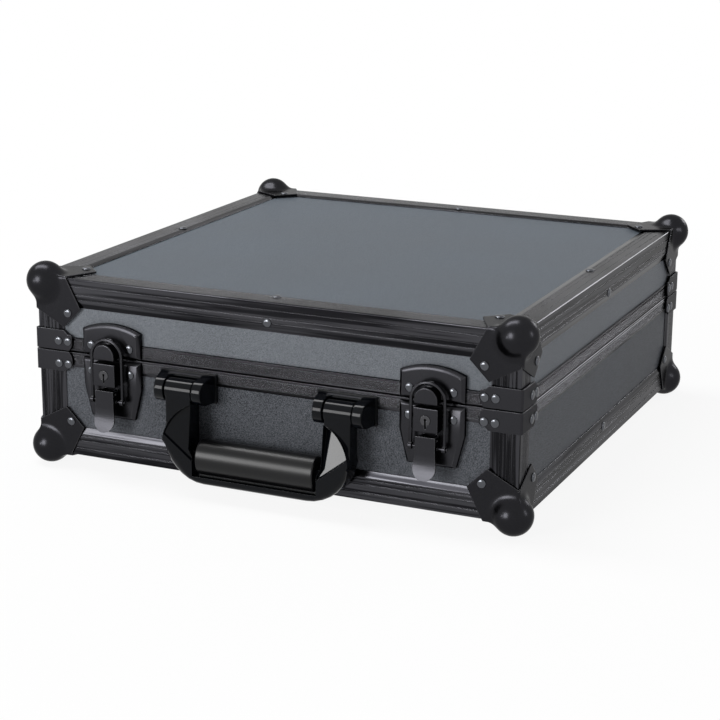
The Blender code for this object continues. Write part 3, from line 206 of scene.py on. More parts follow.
def stamp(pattern: Object, places: list[Matrix], name: str) -> Object:
    """Copies a pattern to several places and joins the copies into one piece.

    Args:
        pattern: the piece to copy, at the origin; it is kept.
        places: one matrix for each copy; a mirrored copy still faces outwards.
        name: the new piece's name.

    Returns:
        The joined piece.
    """
    copies = []
    for place in places:
        mesh = pattern.data.copy()
        mesh.transform(place)
        if place.determinant() < 0:
            mesh.flip_normals()
        copy = bpy.data.objects.new(name, mesh)
        bpy.context.scene.collection.objects.link(copy)
        copies.append(copy)
    select_only(*copies)
    if len(copies) > 1:
        bpy.ops.object.join()
    whole = bpy.context.view_layer.objects.active
    whole.name = name
    whole.data.name = name
    return whole


# Finishes

def grey(tone: float) -> tuple[float, float, float, float]:
    """Gives an opaque grey of this tone."""
    return (tone, tone, tone, 1.0)


class NodeSheet:
    """The node tree of a material or a world, with short calls for the nodes used here."""

    def __init__(self, owner: Material | World) -> None:
        """Opens the node tree of a new material or world.

        Args:
            owner: the material or world.
        """
        owner.use_nodes = True
        self.tree = owner.node_tree
        self.shader = self.tree.nodes["Background" if isinstance(owner, World) else "Principled BSDF"]

    def add(self, kind: str, **values: object) -> Node:
        """Adds a node.

        Args:
            kind: the node's type.
            values: its settings.

        Returns:
            The new node.
        """
        node = self.tree.nodes.new(kind)
        for name, value in values.items():
            setattr(node, name, value)
        return node

    def join(self, source: NodeSocket, target: NodeSocket) -> None:
        """Links two sockets."""
        self.tree.links.new(source, target)

    def noise(self, place: NodeSocket, scale: float, octaves: float) -> NodeSocket:
        """Adds a noise texture.

        Args:
            place: the coordinates to read.
            scale: features in a metre.
            octaves: how many times finer noise is added.

        Returns:
            Its value.
        """
        node = self.add("ShaderNodeTexNoise")
        node.inputs["Scale"].default_value = scale
        node.inputs["Detail"].default_value = octaves
        self.join(place, node.inputs["Vector"])
        return node.outputs["Fac"]

    def map_range(self, value: NodeSocket, source: tuple[float, float],
                  target: tuple[float, float]) -> NodeSocket:
        """Maps a value from one range to another, held at its ends.

        Args:
            value: what to map.
            source: where the first range starts and ends.
            target: the results there.

        Returns:
            The mapped value.
        """
        node = self.add("ShaderNodeMapRange")
        for name, number in zip(("From Min", "From Max", "To Min", "To Max"), source + target):
            node.inputs[name].default_value = number
        self.join(value, node.inputs["Value"])
        return node.outputs["Result"]

    def math(self, operation: str, first: NodeSocket, second: NodeSocket) -> NodeSocket:
        """Joins two values.

        Args:
            operation: the node's operation.
            first: one value.
            second: the other.

        Returns:
            The result.
        """
        node = self.add("ShaderNodeMath", operation=operation)
        self.join(first, node.inputs[0])
        self.join(second, node.inputs[1])
        return node.outputs["Value"]

    def mix(self, share: NodeSocket, first: NodeSocket | Colour, second: Colour) -> NodeSocket:
        """Mixes two colours.

        Args:
            share: how much of the second colour shows.
            first: the first colour, or the socket that gives it.
            second: the second colour.

        Returns:
            The mixed colour.
        """
        node = self.add("ShaderNodeMix", data_type="RGBA")
        self.join(share, node.inputs["Factor"])
        if isinstance(first, tuple):
            node.inputs[MIX_FIRST].default_value = (*first, 1.0)
        else:
            self.join(first, node.inputs[MIX_FIRST])
        node.inputs[MIX_SECOND].default_value = (*second, 1.0)
        return node.outputs[MIX_RESULT]


@dataclass(frozen=True)
class Finish:
    """One surface finish as a node material on Object coordinates, in metres.

    Its grain mixes two tones: the contrast is the span of noise between them, and the
    share is how far the mix goes. Clouds shift the tone, the roughness and the edge tone.
    The edge tone shows where an edge bends within the edge radius: partly real wear,
    partly a painted highlight along the edges.
    """

    name: str
    slot: str
    colour: Colour
    second: Colour
    edge: Colour
    roughness: float
    metallic: float = 0.0
    specular: float = 0.5
    tint: float = 1.0
    grain: float = 0.0006
    stretch: tuple[float, float, float] = (1.0, 1.0, 1.0)
    grain_depth: float = 0.00002
    grain_contrast: float = 0.5
    grain_share: float = 0.7
    cloud: float = 0.12
    cloud_share: float = 0.15
    roughness_spread: float = 0.03
    edge_radius: float = 0.0004
    edge_wear_and_highlight: float = 0.25

    def build(self) -> Material:
        """Makes the material.

        Returns:
            The new material.
        """
        material = bpy.data.materials.new(self.name)
        sheet = NodeSheet(material)
        place = sheet.add("ShaderNodeTexCoord").outputs["Object"]
        mapping = sheet.add("ShaderNodeMapping")
        mapping.inputs["Scale"].default_value = self.stretch
        sheet.join(place, mapping.inputs["Vector"])
        fine = sheet.noise(mapping.outputs["Vector"], 1.0 / self.grain, GRAIN_OCTAVES)
        broad = sheet.noise(place, 1.0 / self.cloud, CLOUD_OCTAVES)
        rounded = sheet.add("ShaderNodeBevel", samples=BEVEL_SAMPLES)
        rounded.inputs["Radius"].default_value = self.edge_radius
        reach = self.grain_contrast / 2
        start = (1.0 - self.grain_share - self.cloud_share) / 2
        speck = sheet.map_range(fine, (NOISE_MIDDLE - reach, NOISE_MIDDLE + reach),
                                (start, start + self.grain_share))
        patch = sheet.map_range(broad, TONE_CLOUD, (0.0, self.cloud_share))
        tone = sheet.mix(sheet.math("ADD", speck, patch), self.colour, self.second)
        wear_highlight_share = self.wear_and_highlight(sheet, rounded.outputs["Normal"], broad)
        rough = sheet.map_range(broad, ROUGH_CLOUD, (self.roughness - self.roughness_spread,
                                                     self.roughness + self.roughness_spread))
        bump = sheet.add("ShaderNodeBump")
        bump.inputs["Distance"].default_value = self.grain_depth
        sheet.join(fine, bump.inputs["Height"])
        sheet.join(rounded.outputs["Normal"], bump.inputs["Normal"])
        inputs = sheet.shader.inputs
        inputs["Metallic"].default_value = self.metallic
        inputs["Specular IOR Level"].default_value = self.specular
        inputs["Specular Tint"].default_value = grey(self.tint)
        # The paler edge tone mixed in at bends is partly real wear and partly a painted edge
        # highlight.
        sheet.join(sheet.mix(wear_highlight_share, tone, self.edge), inputs["Base Color"])
        sheet.join(rough, inputs["Roughness"])
        sheet.join(bump.outputs["Normal"], inputs["Normal"])
        return material

    def wear_and_highlight(self, sheet: NodeSheet, rounded: NodeSocket, broad: NodeSocket) -> NodeSocket:
        """Finds the worn edges with their painted highlight: where a rounded normal bends off the
        flat one.

        Args:
            sheet: the node tree to add to.
            rounded: the normal of the rounded edges.
            broad: the clouds' noise, which thins the wear and the painted highlight.

        Returns:
            How much of the edge tone shows.
        """
        across = sheet.add("ShaderNodeVectorMath", operation="DOT_PRODUCT")
        sheet.join(rounded, across.inputs[0])
        sheet.join(sheet.add("ShaderNodeNewGeometry").outputs["Normal"], across.inputs[1])
        bent = sheet.map_range(across.outputs["Value"], WEAR_HIGHLIGHT_COSINES, (0.0, self.edge_wear_and_highlight))
        return sheet.math("MULTIPLY", bent, sheet.map_range(broad, WEAR_HIGHLIGHT_CLOUD, WEAR_HIGHLIGHT_LEFT))


# One laminate in three tones: this base copy is painted darker as shade, and the lid walls' and top's
# copies are painted lighter as light.
BASE_BOARD_PAINTED_SHADE = Finish("panel_laminate", "panel_laminate", (0.006, 0.008, 0.010), (0.128, 0.135, 0.152),
               (0.12, 0.12, 0.125), 0.50, specular=0.07, grain=0.0005, grain_depth=0.00004,
               grain_contrast=0.12, edge_wear_and_highlight=0.1)
# Paler copy of the laminate for the lid walls and the top: painted light.
PAINTED_LIGHT_BOARD = replace(BASE_BOARD_PAINTED_SHADE, edge=(0.16, 0.16, 0.17), grain_contrast=0.14)
# Its pale edge tone at a high share paints bright highlight lines along the profile edges, beside
# real wear.
EXTRUSION = Finish("profile_black", "profile_black", (0.004, 0.004, 0.005), (0.056, 0.056, 0.062),
                   (0.14, 0.14, 0.15), 0.20, metallic=1.0, tint=0.62, grain=0.0030,
                   stretch=(0.02, 0.02, 1.0), grain_depth=0.000003, grain_contrast=0.14,
                   edge_radius=0.00035, edge_wear_and_highlight=0.8)


class Finishes(Enum):
    """The finishes of the case."""

    LAMINATE = BASE_BOARD_PAINTED_SHADE
    # Lighter copy of the laminate for the lid walls: painted light.
    LAMINATE_LID = replace(PAINTED_LIGHT_BOARD, name="lid_laminate_painted_light", colour=(0.076, 0.083, 0.093),
                           second=(0.186, 0.200, 0.221))
    # Paler, bluer copy of the laminate for the top: painted light.
    LAMINATE_TOP = replace(PAINTED_LIGHT_BOARD, name="top_laminate_painted_light", colour=(0.046, 0.054, 0.064),
                           second=(0.116, 0.136, 0.160))
    PROFILE = EXTRUSION
    POST = replace(EXTRUSION, name="post_black", colour=(0.002, 0.002, 0.0025),
                   second=(0.052, 0.052, 0.058), grain=0.0026, stretch=(1.0, 1.0, 0.02),
                   grain_contrast=0.12, edge_wear_and_highlight=0.7)
    BAND = replace(EXTRUSION, name="band_black", colour=(0.012, 0.012, 0.0135), roughness=0.22,
                   tint=0.6, grain=0.0016, grain_contrast=0.3, edge_radius=0.00025)
    STEEL = Finish("steel_black", "steel_black", (0.021, 0.021, 0.0235), (0.034, 0.034, 0.038),
                   (0.24, 0.24, 0.25), 0.27, metallic=1.0, tint=0.5, grain=0.0004,
                   grain_depth=0.000005, edge_radius=0.0006, edge_wear_and_highlight=0.6)
    LOCK = Finish("lock_metal", "lock_metal", (0.050, 0.050, 0.054), (0.080, 0.080, 0.085),
                  (0.28, 0.28, 0.29), 0.24, metallic=1.0, tint=0.6, grain=0.0004,
                  grain_depth=0.000004, edge_wear_and_highlight=0.6)
    BALL = Finish("corner_black", "steel_black", (0.013, 0.013, 0.0145), (0.024, 0.024, 0.027),
                  (0.26, 0.26, 0.27), 0.25, metallic=1.0, tint=0.6, grain=0.0005,
                  grain_depth=0.000005, edge_radius=0.0006, edge_wear_and_highlight=0.6)
    RIVET = Finish("rivet_black", "steel_black", (0.070, 0.073, 0.081), (0.100, 0.104, 0.114),
                   (0.16, 0.16, 0.17), 0.14, metallic=1.0, tint=0.7, grain=0.0005,
                   grain_depth=0.000004, edge_radius=0.0002, edge_wear_and_highlight=0.3)
    GLOSS = Finish("plastic_gloss", "plastic_gloss", (0.0012, 0.0016, 0.0026),
                   (0.0022, 0.0028, 0.0042), (0.016, 0.018, 0.022), 0.08, specular=0.13,
                   grain=0.0030, grain_depth=0.000001, roughness_spread=0.02,
                   edge_radius=0.0005, edge_wear_and_highlight=0.3)
    GRIP = Finish("grip_rubber", "grip_rubber", (0.0020, 0.0020, 0.0024), (0.004, 0.004, 0.0045),
                  (0.02, 0.02, 0.021), 0.30, specular=0.24, grain=0.0005, grain_depth=0.000008,
                  edge_radius=0.0006, edge_wear_and_highlight=0.2)
    FOAM = Finish("foam_grey", "foam_grey", (0.018, 0.018, 0.020), (0.060, 0.060, 0.064),
                  (0.08, 0.08, 0.083), 0.95, specular=0.1, grain=0.0011, grain_depth=0.00035,
                  edge_radius=0.001, edge_wear_and_highlight=0.2)


class Workshop:
    """Holds the frame, the finishes, the rivets and the steps that every piece goes through."""

    def __init__(self, frame: dict) -> None:
        """Makes every finish once, and notes where the case stands.
        """
        self.nodes: dict[str, Object] = frame["nodes"]
        self.materials = {kind: kind.value.build() for kind in Finishes}
        self.case = CaseFrame()
        self.rivets = Rivets()

    def dress(self, node: str, finish: Finishes) -> None:
        """Gives a CAD node that stays its finish.

        Args:
            node: the node's name.
            finish: its finish.
        """
        mesh = self.nodes[node].data
        mesh.materials.clear()
        mesh.materials.append(self.materials[finish])
        LOG.info("%s carried over as %s", node, finish.value.name)

    def copy_node(self, node: str, name: str) -> Object:
        """Copies a CAD node's mesh to a new piece, with its loose triangles joined.

        Args:
            node: the node's name.
            name: the new piece's name.

        Returns:
            The new piece.
        """
        mesh = self.nodes[node].data.copy()
        mesh.name = name
        mesh.materials.clear()
        piece = bpy.data.objects.new(name, mesh)
        bpy.context.scene.collection.objects.link(piece)
        select_only(piece)
        bpy.ops.mesh.customdata_custom_splitnormals_clear()
        clean(piece, flatten=True)
        return piece

    def refine(self, node: str, finish: Finishes, body: str, edge: float = 0.0003,
               smooth: float = 40.0, shape: Callable[[Object], None] | None = None) -> None:
        """Makes a piece from a CAD node whose shape is right, with rounded edges and smooth curves.

        Args:
            node: the node's name.
            finish: its finish.
            body: the CAD body that it rides on.
            edge: the width of the rounded edges.
            smooth: edges sharper than this, in degrees, stay sharp.
            shape: shapes the copy further before its edges are rounded.
        """
        piece = self.copy_node(node, f"{node}_dressed")
        if shape is not None:
            shape(piece)
        round_edges(piece, edge)
        self.finish(piece, finish, body, (node,), smooth)
        apply_modifier(piece, "WEIGHTED_NORMAL", keep_sharp=True)

    def finish(self, piece: Object, finish: Finishes, body: str, replaced: tuple[str, ...] = (),
               smooth: float = 60.0) -> None:
        """Shades a piece, gives it its finish and sets it on its body.

        Args:
            piece: the piece, in its place, with nothing turned or scaled.
            finish: its finish.
            body: the CAD body that it rides on.
            replaced: the CAD nodes that it stands for.
            smooth: edges sharper than this, in degrees, stay sharp.
        """
        select_only(piece)
        bpy.ops.object.transform_apply(location=True, rotation=True, scale=True)
        bpy.ops.object.shade_smooth_by_angle(angle=math.radians(smooth))
        piece.data.materials.clear()
        piece.data.materials.append(self.materials[finish])
        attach(piece, body)
        if replaced:
            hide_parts(*replaced)
        LOG.info("%s made: %d faces", piece.name, len(piece.data.polygons))


# Case frame

class Side(Enum):
    """Outer faces of the case: outward normal, direction of u and direction of v."""

    FRONT = ((0, -1, 0), (1, 0, 0), (0, 0, 1))
    BACK = ((0, 1, 0), (1, 0, 0), (0, 0, 1))
    LEFT = ((-1, 0, 0), (0, 1, 0), (0, 0, 1))
    RIGHT = ((1, 0, 0), (0, 1, 0), (0, 0, 1))
    TOP = ((0, 0, 1), (1, 0, 0), (0, 1, 0))
    BOTTOM = ((0, 0, -1), (1, 0, 0), (0, 1, 0))


@dataclass
class CaseFrame:
    """Corners of the case over its edge profiles, read from the CAD nodes."""

    low: Vector = field(default_factory=lambda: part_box("base_edge_profile_front")[0])
    high: Vector = field(default_factory=lambda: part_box("lid_edge_profile_back")[1])

    @property
    def middle(self) -> Vector:
        """The middle of the case."""
        return (self.low + self.high) / 2

    @property
    def half(self) -> Vector:
        """Half the size of the case."""
        return (self.high - self.low) / 2

    def across(self, node: str) -> float:
        """Gives how far to the right of the case's middle a CAD node lies.

        Args:
            node: the node's name.

        Returns:
            The distance, below zero to the left.
        """
        low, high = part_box(node)
        return (low.x + high.x) / 2 - self.middle.x

    def face_place(self, side: Side, u: float, v: float, lift: float = 0.0) -> Matrix:
        """Gives the matrix that stands a part on an outer face.

        Args:
            side: the face.
            u: distance along the face from the case's middle.
            v: height over the case's foot, or distance from its middle on top and bottom.
            lift: distance proud of the face.

        Returns:
            The matrix, with local Z out of the face.
        """
        normal, along, up = (Vector(direction) for direction in side.value)
        spot = self.middle + along * u
        if side in (Side.TOP, Side.BOTTOM):
            spot += up * v
        else:
            spot.z = self.low.z + v
        spot += normal * (abs(normal.dot(self.half)) + lift)
        matrix = Matrix((up.cross(normal), up, normal)).transposed().to_4x4()
        matrix.translation = spot
        return matrix

    def corner_place(self, x: int, y: int, top: bool) -> Matrix:
        """Gives the matrix that carries the front left bottom corner to another corner.

        Args:
            x: minus one for left, one for right.
            y: minus one for front, one for back.
            top: whether the corner is at the top.

        Returns:
            The matrix, from a corner at the origin whose case lies along plus X, Y and Z.
        """
        spot = Vector((self.low.x if x < 0 else self.high.x, self.low.y if y < 0 else self.high.y,
                       self.high.z if top else self.low.z))
        return Matrix.Translation(spot) @ Matrix.Diagonal((-x, -y, -1 if top else 1, 1))


CORNERS = (("front_left", -1, -1), ("front_right", 1, -1), ("back_left", -1, 1), ("back_right", 1, 1))


@dataclass
class Shell:
    """Panels and metal profiles, carried over from the CAD model."""

    # The lid walls and top take lighter copies of the base laminate: painted light; the base copy is
    # painted shade.
    panels: tuple[tuple[str, Finishes], ...] = (
        ("base_bottom_panel", Finishes.LAMINATE), ("base_wall_panels", Finishes.LAMINATE),
        ("lid_wall_panels", Finishes.LAMINATE_LID), ("lid_top_panel", Finishes.LAMINATE_TOP))

    def build(self, shop: Workshop) -> None:
        """Gives the panels and profiles their finishes.

        Args:
            shop: the workshop.
        """
        for node, finish in self.panels:
            shop.dress(node, finish)
        for part in ("base", "lid"):
            for side in ("front", "back", "left", "right"):
                shop.dress(f"{part}_edge_profile_{side}", Finishes.PROFILE)
            for name, _, _ in CORNERS:
                shop.dress(f"{part}_post_{name}", Finishes.POST)
            shop.dress(f"{part}_closing_profile", Finishes.BAND)


# Ball corners, braces and rivets

@dataclass
class Rivets:
    """Domed rivet heads, one piece for each body.

    Attributes:
        skirt: the share of a head's height that is a cylinder.
        dome: angles in degrees, from the rim up, of the rings of its dome.
        sides: corners round a head.
        places: where the heads stand on each body.
    """

    radius: float = 0.0037
    height: float = 0.0015
    skirt: float = 0.3
    dome: tuple[float, ...] = (25, 45, 60, 75)
    sides: int = 24
    places: dict[str, list[Matrix]] = field(default_factory=dict)

    def add(self, body: str, place: Matrix) -> None:
        """Notes a rivet head's place on a body."""
        self.places.setdefault(body, []).append(place)

    def pattern(self) -> Object:
        """Models one head: a low cylinder raised ring by ring to a dome.

        Returns:
            The head, standing on the origin.
        """
        skirt = self.height * self.skirt
        bpy.ops.mesh.primitive_cylinder_add(vertices=self.sides, radius=self.radius, depth=skirt,
                                            location=(0, 0, skirt / 2))
        piece = bpy.context.view_layer.objects.active
        bpy.ops.object.transform_apply(location=True, rotation=False, scale=False)
        open_edit(piece)
        pick_faces(piece, lambda face: face.normal.z > FACING)
        inset, rise = 0.0, skirt
        for angle in self.dome:
            reach = self.radius * (1 - math.cos(math.radians(angle)))
            height = skirt + (self.height - skirt) * math.sin(math.radians(angle))
            bpy.ops.mesh.inset(thickness=reach - inset, depth=0.0)
            bpy.ops.transform.translate(value=(0, 0, height - rise))
            inset, rise = reach, height
        close_edit()
        return piece

    def build(self, shop: Workshop) -> None:
        """Joins each body's rivet heads into one piece.

        Args:
            shop: the workshop.
        """
        pattern = self.pattern()
        for body, places in self.places.items():
            piece = stamp(pattern, places, f"{body}_rivet_heads")
            shop.finish(piece, Finishes.RIVET, body)
        bpy.data.objects.remove(pattern, do_unlink=True)


@dataclass
class BallCorners:
    """Eight pressed corners: a ball that flows into three flanges.

    Attributes:
        inset: how far the ball's middle lies inside the corner along each axis.
        lift: how far the flanges stand proud of the case.
        blend: how wide the ball flows into the flanges.
        foot: a flange's reach along the case's edges.
        reach, shoulder: the two distances of each end of its tip.
        rim: the width of its rounded rim.
        root: where the rays start that find the skin.
        far: how far a ray goes, as a multiple of its first length.
        halvings: how often the search along a ray halves its step.
        rivet: a rivet's distance from the corner along both edges.
    """

    radius: float = 0.0158
    inset: float = 0.0050
    lift: float = 0.0015
    wall: float = 0.0015
    blend: float = 0.0050
    foot: float = 0.0280
    reach: float = 0.0410
    shoulder: float = 0.0250
    cuts: int = 30
    rim: float = 0.00035
    root: float = 0.0140
    far: float = 3.0
    halvings: int = 24
    rivet: float = 0.0290

    def distance(self, spot: Vector) -> float:
        """Signed distance from the outer skin, with the corner at the origin.

        Args:
            spot: a point; the case lies along plus X, Y and Z.

        Returns:
            The distance, below zero inside.
        """
        ball = (spot - Vector((self.inset,) * 3)).length - self.radius
        outside = Vector(max(-value, 0.0) for value in spot).length
        plates = (outside if outside > 0 else -min(spot)) - self.lift
        gap = max(self.blend - abs(ball - plates), 0.0) / self.blend
        return min(ball, plates) - gap * gap * self.blend / 4

    def to_skin(self, spot: Vector) -> Vector:
        """Moves a point of the corner's faces out to the skin.

        Args:
            spot: a point on one of the three faces.

        Returns:
            The point on the skin.
        """
        pull = Vector(min(value, self.root) for value in spot)
        inner = Vector(max(value, self.root) for value in spot)
        away = pull - Vector((self.root,) * 3)
        low, high = 0.0, self.far
        for _ in range(self.halvings):
            share = (low + high) / 2
            if self.distance(inner + away * share) < 0:
                low = share
            else:
                high = share
        return inner + away * low

    def pattern(self) -> Object:
        """Models one corner at the origin.

        Returns:
            The pressed corner of the front left bottom, its corner at the origin.
        """
        bpy.ops.mesh.primitive_cube_add(size=self.reach, location=(self.reach / 2,) * 3)
        piece = bpy.context.view_layer.objects.active
        bpy.ops.object.transform_apply(location=True, rotation=False, scale=False)
        open_edit(piece)
        pick_faces(piece, lambda face: sum(face.normal) > 0)
        bpy.ops.mesh.delete(type="FACE")
        bpy.ops.mesh.select_all(action="SELECT")
        bpy.ops.mesh.subdivide(number_cuts=self.cuts)
        mesh = bmesh.from_edit_mesh(piece.data)
        mesh.faces.ensure_lookup_table()
        for face in mesh.faces:
            middle = face.calc_center_median()
            face.material_index = min(range(3), key=lambda axis: middle[axis])
        for vertex in mesh.verts:
            vertex.co = self.to_skin(vertex.co)
        bmesh.update_edit_mesh(piece.data)
        outline = ((self.foot, 0.0), (self.reach, self.shoulder), (self.shoulder, self.reach),
                   (0.0, self.foot))
        for axis in range(3):
            for start, end in zip(outline, outline[1:]):
                self.trim(piece, axis, start, end)
        close_edit()
        piece.data.materials.clear()
        clean(piece)
        apply_modifier(piece, "SOLIDIFY", thickness=self.wall, offset=-1.0, use_even_offset=True)
        round_edges(piece, self.rim)
        return piece

    def on_flange(self, axis: int, first: float, second: float) -> Vector:
        """Gives a point or a direction in the plane of a flange.

        Args:
            axis: the flange's normal.
            first: its distance along the axis after that.
            second: its distance along the last axis.

        Returns:
            The vector.
        """
        spot = Vector((0, 0, 0))
        spot[(axis + 1) % 3] = first
        spot[(axis + 2) % 3] = second
        return spot

    def trim(self, piece: Object, axis: int, start: tuple[float, float],
             end: tuple[float, float]) -> None:
        """Cuts one flange along a straight edge of its outline.

        Args:
            piece: the corner in edit mode.
            axis: the flange's normal, and its faces' material index.
            start: where the edge starts, along the other two axes.
            end: where it ends.
        """
        spot = self.on_flange(axis, *start)
        normal = self.on_flange(axis, end[1] - start[1], start[0] - end[0])
        normal.normalize()
        if normal.dot(spot) < 0:
            normal.negate()
        pick_faces(piece, lambda face: face.material_index == axis)
        bpy.ops.mesh.bisect(plane_co=spot, plane_no=normal, clear_outer=True, threshold=TOUCHING)

    def rivet_place(self, axis: int) -> Matrix:
        """Gives a rivet's place on one flange of the pattern.

        Args:
            axis: the flange's normal.

        Returns:
            The matrix, with local Z out of the flange.
        """
        spot = self.on_flange(axis, self.rivet, self.rivet)
        spot[axis] = -self.lift
        normal = Vector((0, 0, 0))
        normal[axis] = -1.0
        matrix = normal.to_track_quat("Z", "Y").to_matrix().to_4x4()
        matrix.translation = spot
        return matrix

    def build(self, shop: Workshop) -> None:
        """Makes the eight corners and their rivets.

        Args:
            shop: the workshop.
        """
        pattern = self.pattern()
        for part in ("base", "lid"):
            for name, x, y in CORNERS:
                place = shop.case.corner_place(x, y, part == "lid")
                node = f"{part}_ball_corner_{name}"
                piece = stamp(pattern, [place], f"{node}_pressed")
                shop.finish(piece, Finishes.BALL, part, (node,), smooth=50.0)
                for axis in range(3):
                    shop.rivets.add(part, place @ self.rivet_place(axis))
        bpy.data.objects.remove(pattern, do_unlink=True)


@dataclass
class Braces:
    """Notched corner braces beside the parting line, with two rivets on each leg.

    Attributes:
        lift: how far a brace stands proud of the case.
        rows: distances of the rivets from the case's corner.
        heights: heights of the rivets over the case's foot.
    """

    lift: float = 0.0019
    rows: tuple[float, float] = (0.0195, 0.0283)
    heights: tuple[tuple[str, float], ...] = (("base", 0.0780), ("lid", 0.0970))

    def build(self, shop: Workshop) -> None:
        """Carries the braces over and adds their rivets.

        Args:
            shop: the workshop.
        """
        case, rivets = shop.case, shop.rivets
        half = case.half
        for part, height in self.heights:
            for name, x, y in CORNERS:
                shop.refine(f"{part}_corner_brace_{name}", Finishes.STEEL, part)
                face = Side.FRONT if y < 0 else Side.BACK
                flank = Side.LEFT if x < 0 else Side.RIGHT
                for row in self.rows:
                    rivets.add(part, case.face_place(face, x * (half.x - row), height, self.lift))
                    rivets.add(part, case.face_place(flank, y * (half.y - row), height, self.lift))


@dataclass
class EdgeRivets:
    """One rivet in the middle of every edge profile's legs, this far from the case's edge."""

    reach: float = 0.0170

    def build(self, shop: Workshop) -> None:
        """Adds the rivets.

        Args:
            shop: the workshop.
        """
        case, rivets, reach = shop.case, shop.rivets, self.reach
        half = case.half
        top = case.high.z - case.low.z - reach
        for part, level, flat in (("base", reach, Side.BOTTOM), ("lid", top, Side.TOP)):
            for side in (Side.FRONT, Side.BACK, Side.LEFT, Side.RIGHT):
                rivets.add(part, case.face_place(side, 0.0, level))
            for sign in (-1, 1):
                rivets.add(part, case.face_place(flat, sign * (half.x - reach), 0.0))
                rivets.add(part, case.face_place(flat, 0.0, sign * (half.y - reach)))


# Latches, handle and hinges

@dataclass
class Latches:
    """Two locking draw latches with their plates' rivets.

    Attributes:
        keeper_rivet, plate_rivet: the rivets' places from the middle and over the foot.
        lift: how far the plates stand proud of the case.
    """

    keeper_rivet: tuple[float, float] = (0.0176, 0.0980)
    plate_rivet: tuple[float, float] = (0.01785, 0.0766)
    lift: float = 0.0045
    edge: float = 0.00025

    def build(self, shop: Workshop) -> None:
        """Dresses both latches.

        Args:
            shop: the workshop.
        """
        case, rivets = shop.case, shop.rivets
        for name in ("left", "right"):
            centre = case.across(f"latch_{name}_keeper")
            for part, body in (("keeper", "lid"), ("base_plate", "base"), ("lever", f"{name}_lever"),
                               ("bail", f"{name}_bail"), ("lock_core", f"{name}_lock_core")):
                finish = Finishes.LOCK if part == "lock_core" else Finishes.STEEL
                shop.refine(f"latch_{name}_{part}", finish, body, self.edge)
            for sign in (-1, 1):
                for body, (reach, height) in (("lid", self.keeper_rivet), ("base", self.plate_rivet)):
                    u = centre + sign * reach
                    rivets.add(body, case.face_place(Side.FRONT, u, height, self.lift))


@dataclass
class DropHandle:
    """Glossy brackets and loop with a soft grip, and a sunk panel in each arm's ramp.

    Attributes:
        panel_rim: the width of the rim left round a panel.
        panel_rise, panel_lean: how much deeper it gets upwards and towards the window.
        ramp_slope, slope_margin: the upward part of the ramps' normals, give or take this.
        ramp_facing: the least forward part of their normals.
        ramp_foot: the ramps lie above this height.
    """

    panel_rim: float = 0.0008
    panel_rise: float = 0.107
    panel_lean: float = 0.100
    ramp_slope: float = 0.128
    slope_margin: float = 0.02
    ramp_facing: float = 0.95
    ramp_foot: float = 0.030
    bracket_edge: float = 0.0004
    loop_edge: float = 0.0005

    def on_ramp(self, face: BMFace) -> bool:
        """Says whether a face is one of the two ramps.

        Args:
            face: a face of the loop.

        Returns:
            Whether it is one.
        """
        sloped = abs(face.normal.z - self.ramp_slope) < self.slope_margin
        high = face.calc_center_median().z > self.ramp_foot
        return face.normal.y < -self.ramp_facing and sloped and high

    def sink_panels(self, piece: Object) -> None:
        """Sinks a panel into the ramp of each arm, deepest at its top and beside the window.

        Args:
            piece: the copy of the loop.
        """
        open_edit(piece)
        LOG.info("%d ramp faces", pick_faces(piece, self.on_ramp))
        bpy.ops.mesh.inset(thickness=self.panel_rim, depth=0.0)
        mesh = bmesh.from_edit_mesh(piece.data)
        spots = [vertex for vertex in mesh.verts if vertex.select]
        low = min(vertex.co.z for vertex in spots)
        outer = max(vertex.co.x for vertex in spots)
        for vertex in spots:
            lean = self.panel_lean * (outer - abs(vertex.co.x))
            vertex.co.y += self.panel_rise * (vertex.co.z - low) + lean
        bmesh.update_edit_mesh(piece.data)
        close_edit()

    def build(self, shop: Workshop) -> None:
        """Dresses the handle.

        Args:
            shop: the workshop.
        """
        for name in ("left", "right"):
            shop.refine(f"handle_bracket_{name}", Finishes.GLOSS, "base", self.bracket_edge)
        shop.refine("handle_loop", Finishes.GLOSS, "handle", self.loop_edge, shape=self.sink_panels)
        shop.refine("handle_grip", Finishes.GRIP, "handle", self.loop_edge)


@dataclass
class Hinges:
    """Two barrel hinges at the back with three rivets in each leaf.

    Attributes:
        lift: how far a leaf stands proud of the case.
        margin: the rivets' distance from the leaf's outer edge.
        spacing: the distance between two rivets.
    """

    lift: float = 0.0018
    margin: float = 0.0070
    spacing: float = 0.0200

    def build(self, shop: Workshop) -> None:
        """Dresses the hinges and adds their rivets.

        Args:
            shop: the workshop.
        """
        case, rivets = shop.case, shop.rivets
        for name in ("left", "right"):
            centre = case.across(f"hinge_{name}_lid_leaf")
            for part in ("base", "lid"):
                node = f"hinge_{name}_{part}_leaf"
                shop.refine(node, Finishes.STEEL, part)
                low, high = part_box(node)
                level = low.z + self.margin if part == "base" else high.z - self.margin
                for step in (-1, 0, 1):
                    u = centre + step * self.spacing
                    rivets.add(part, case.face_place(Side.BACK, u, level - case.low.z, self.lift))


# Foam lining

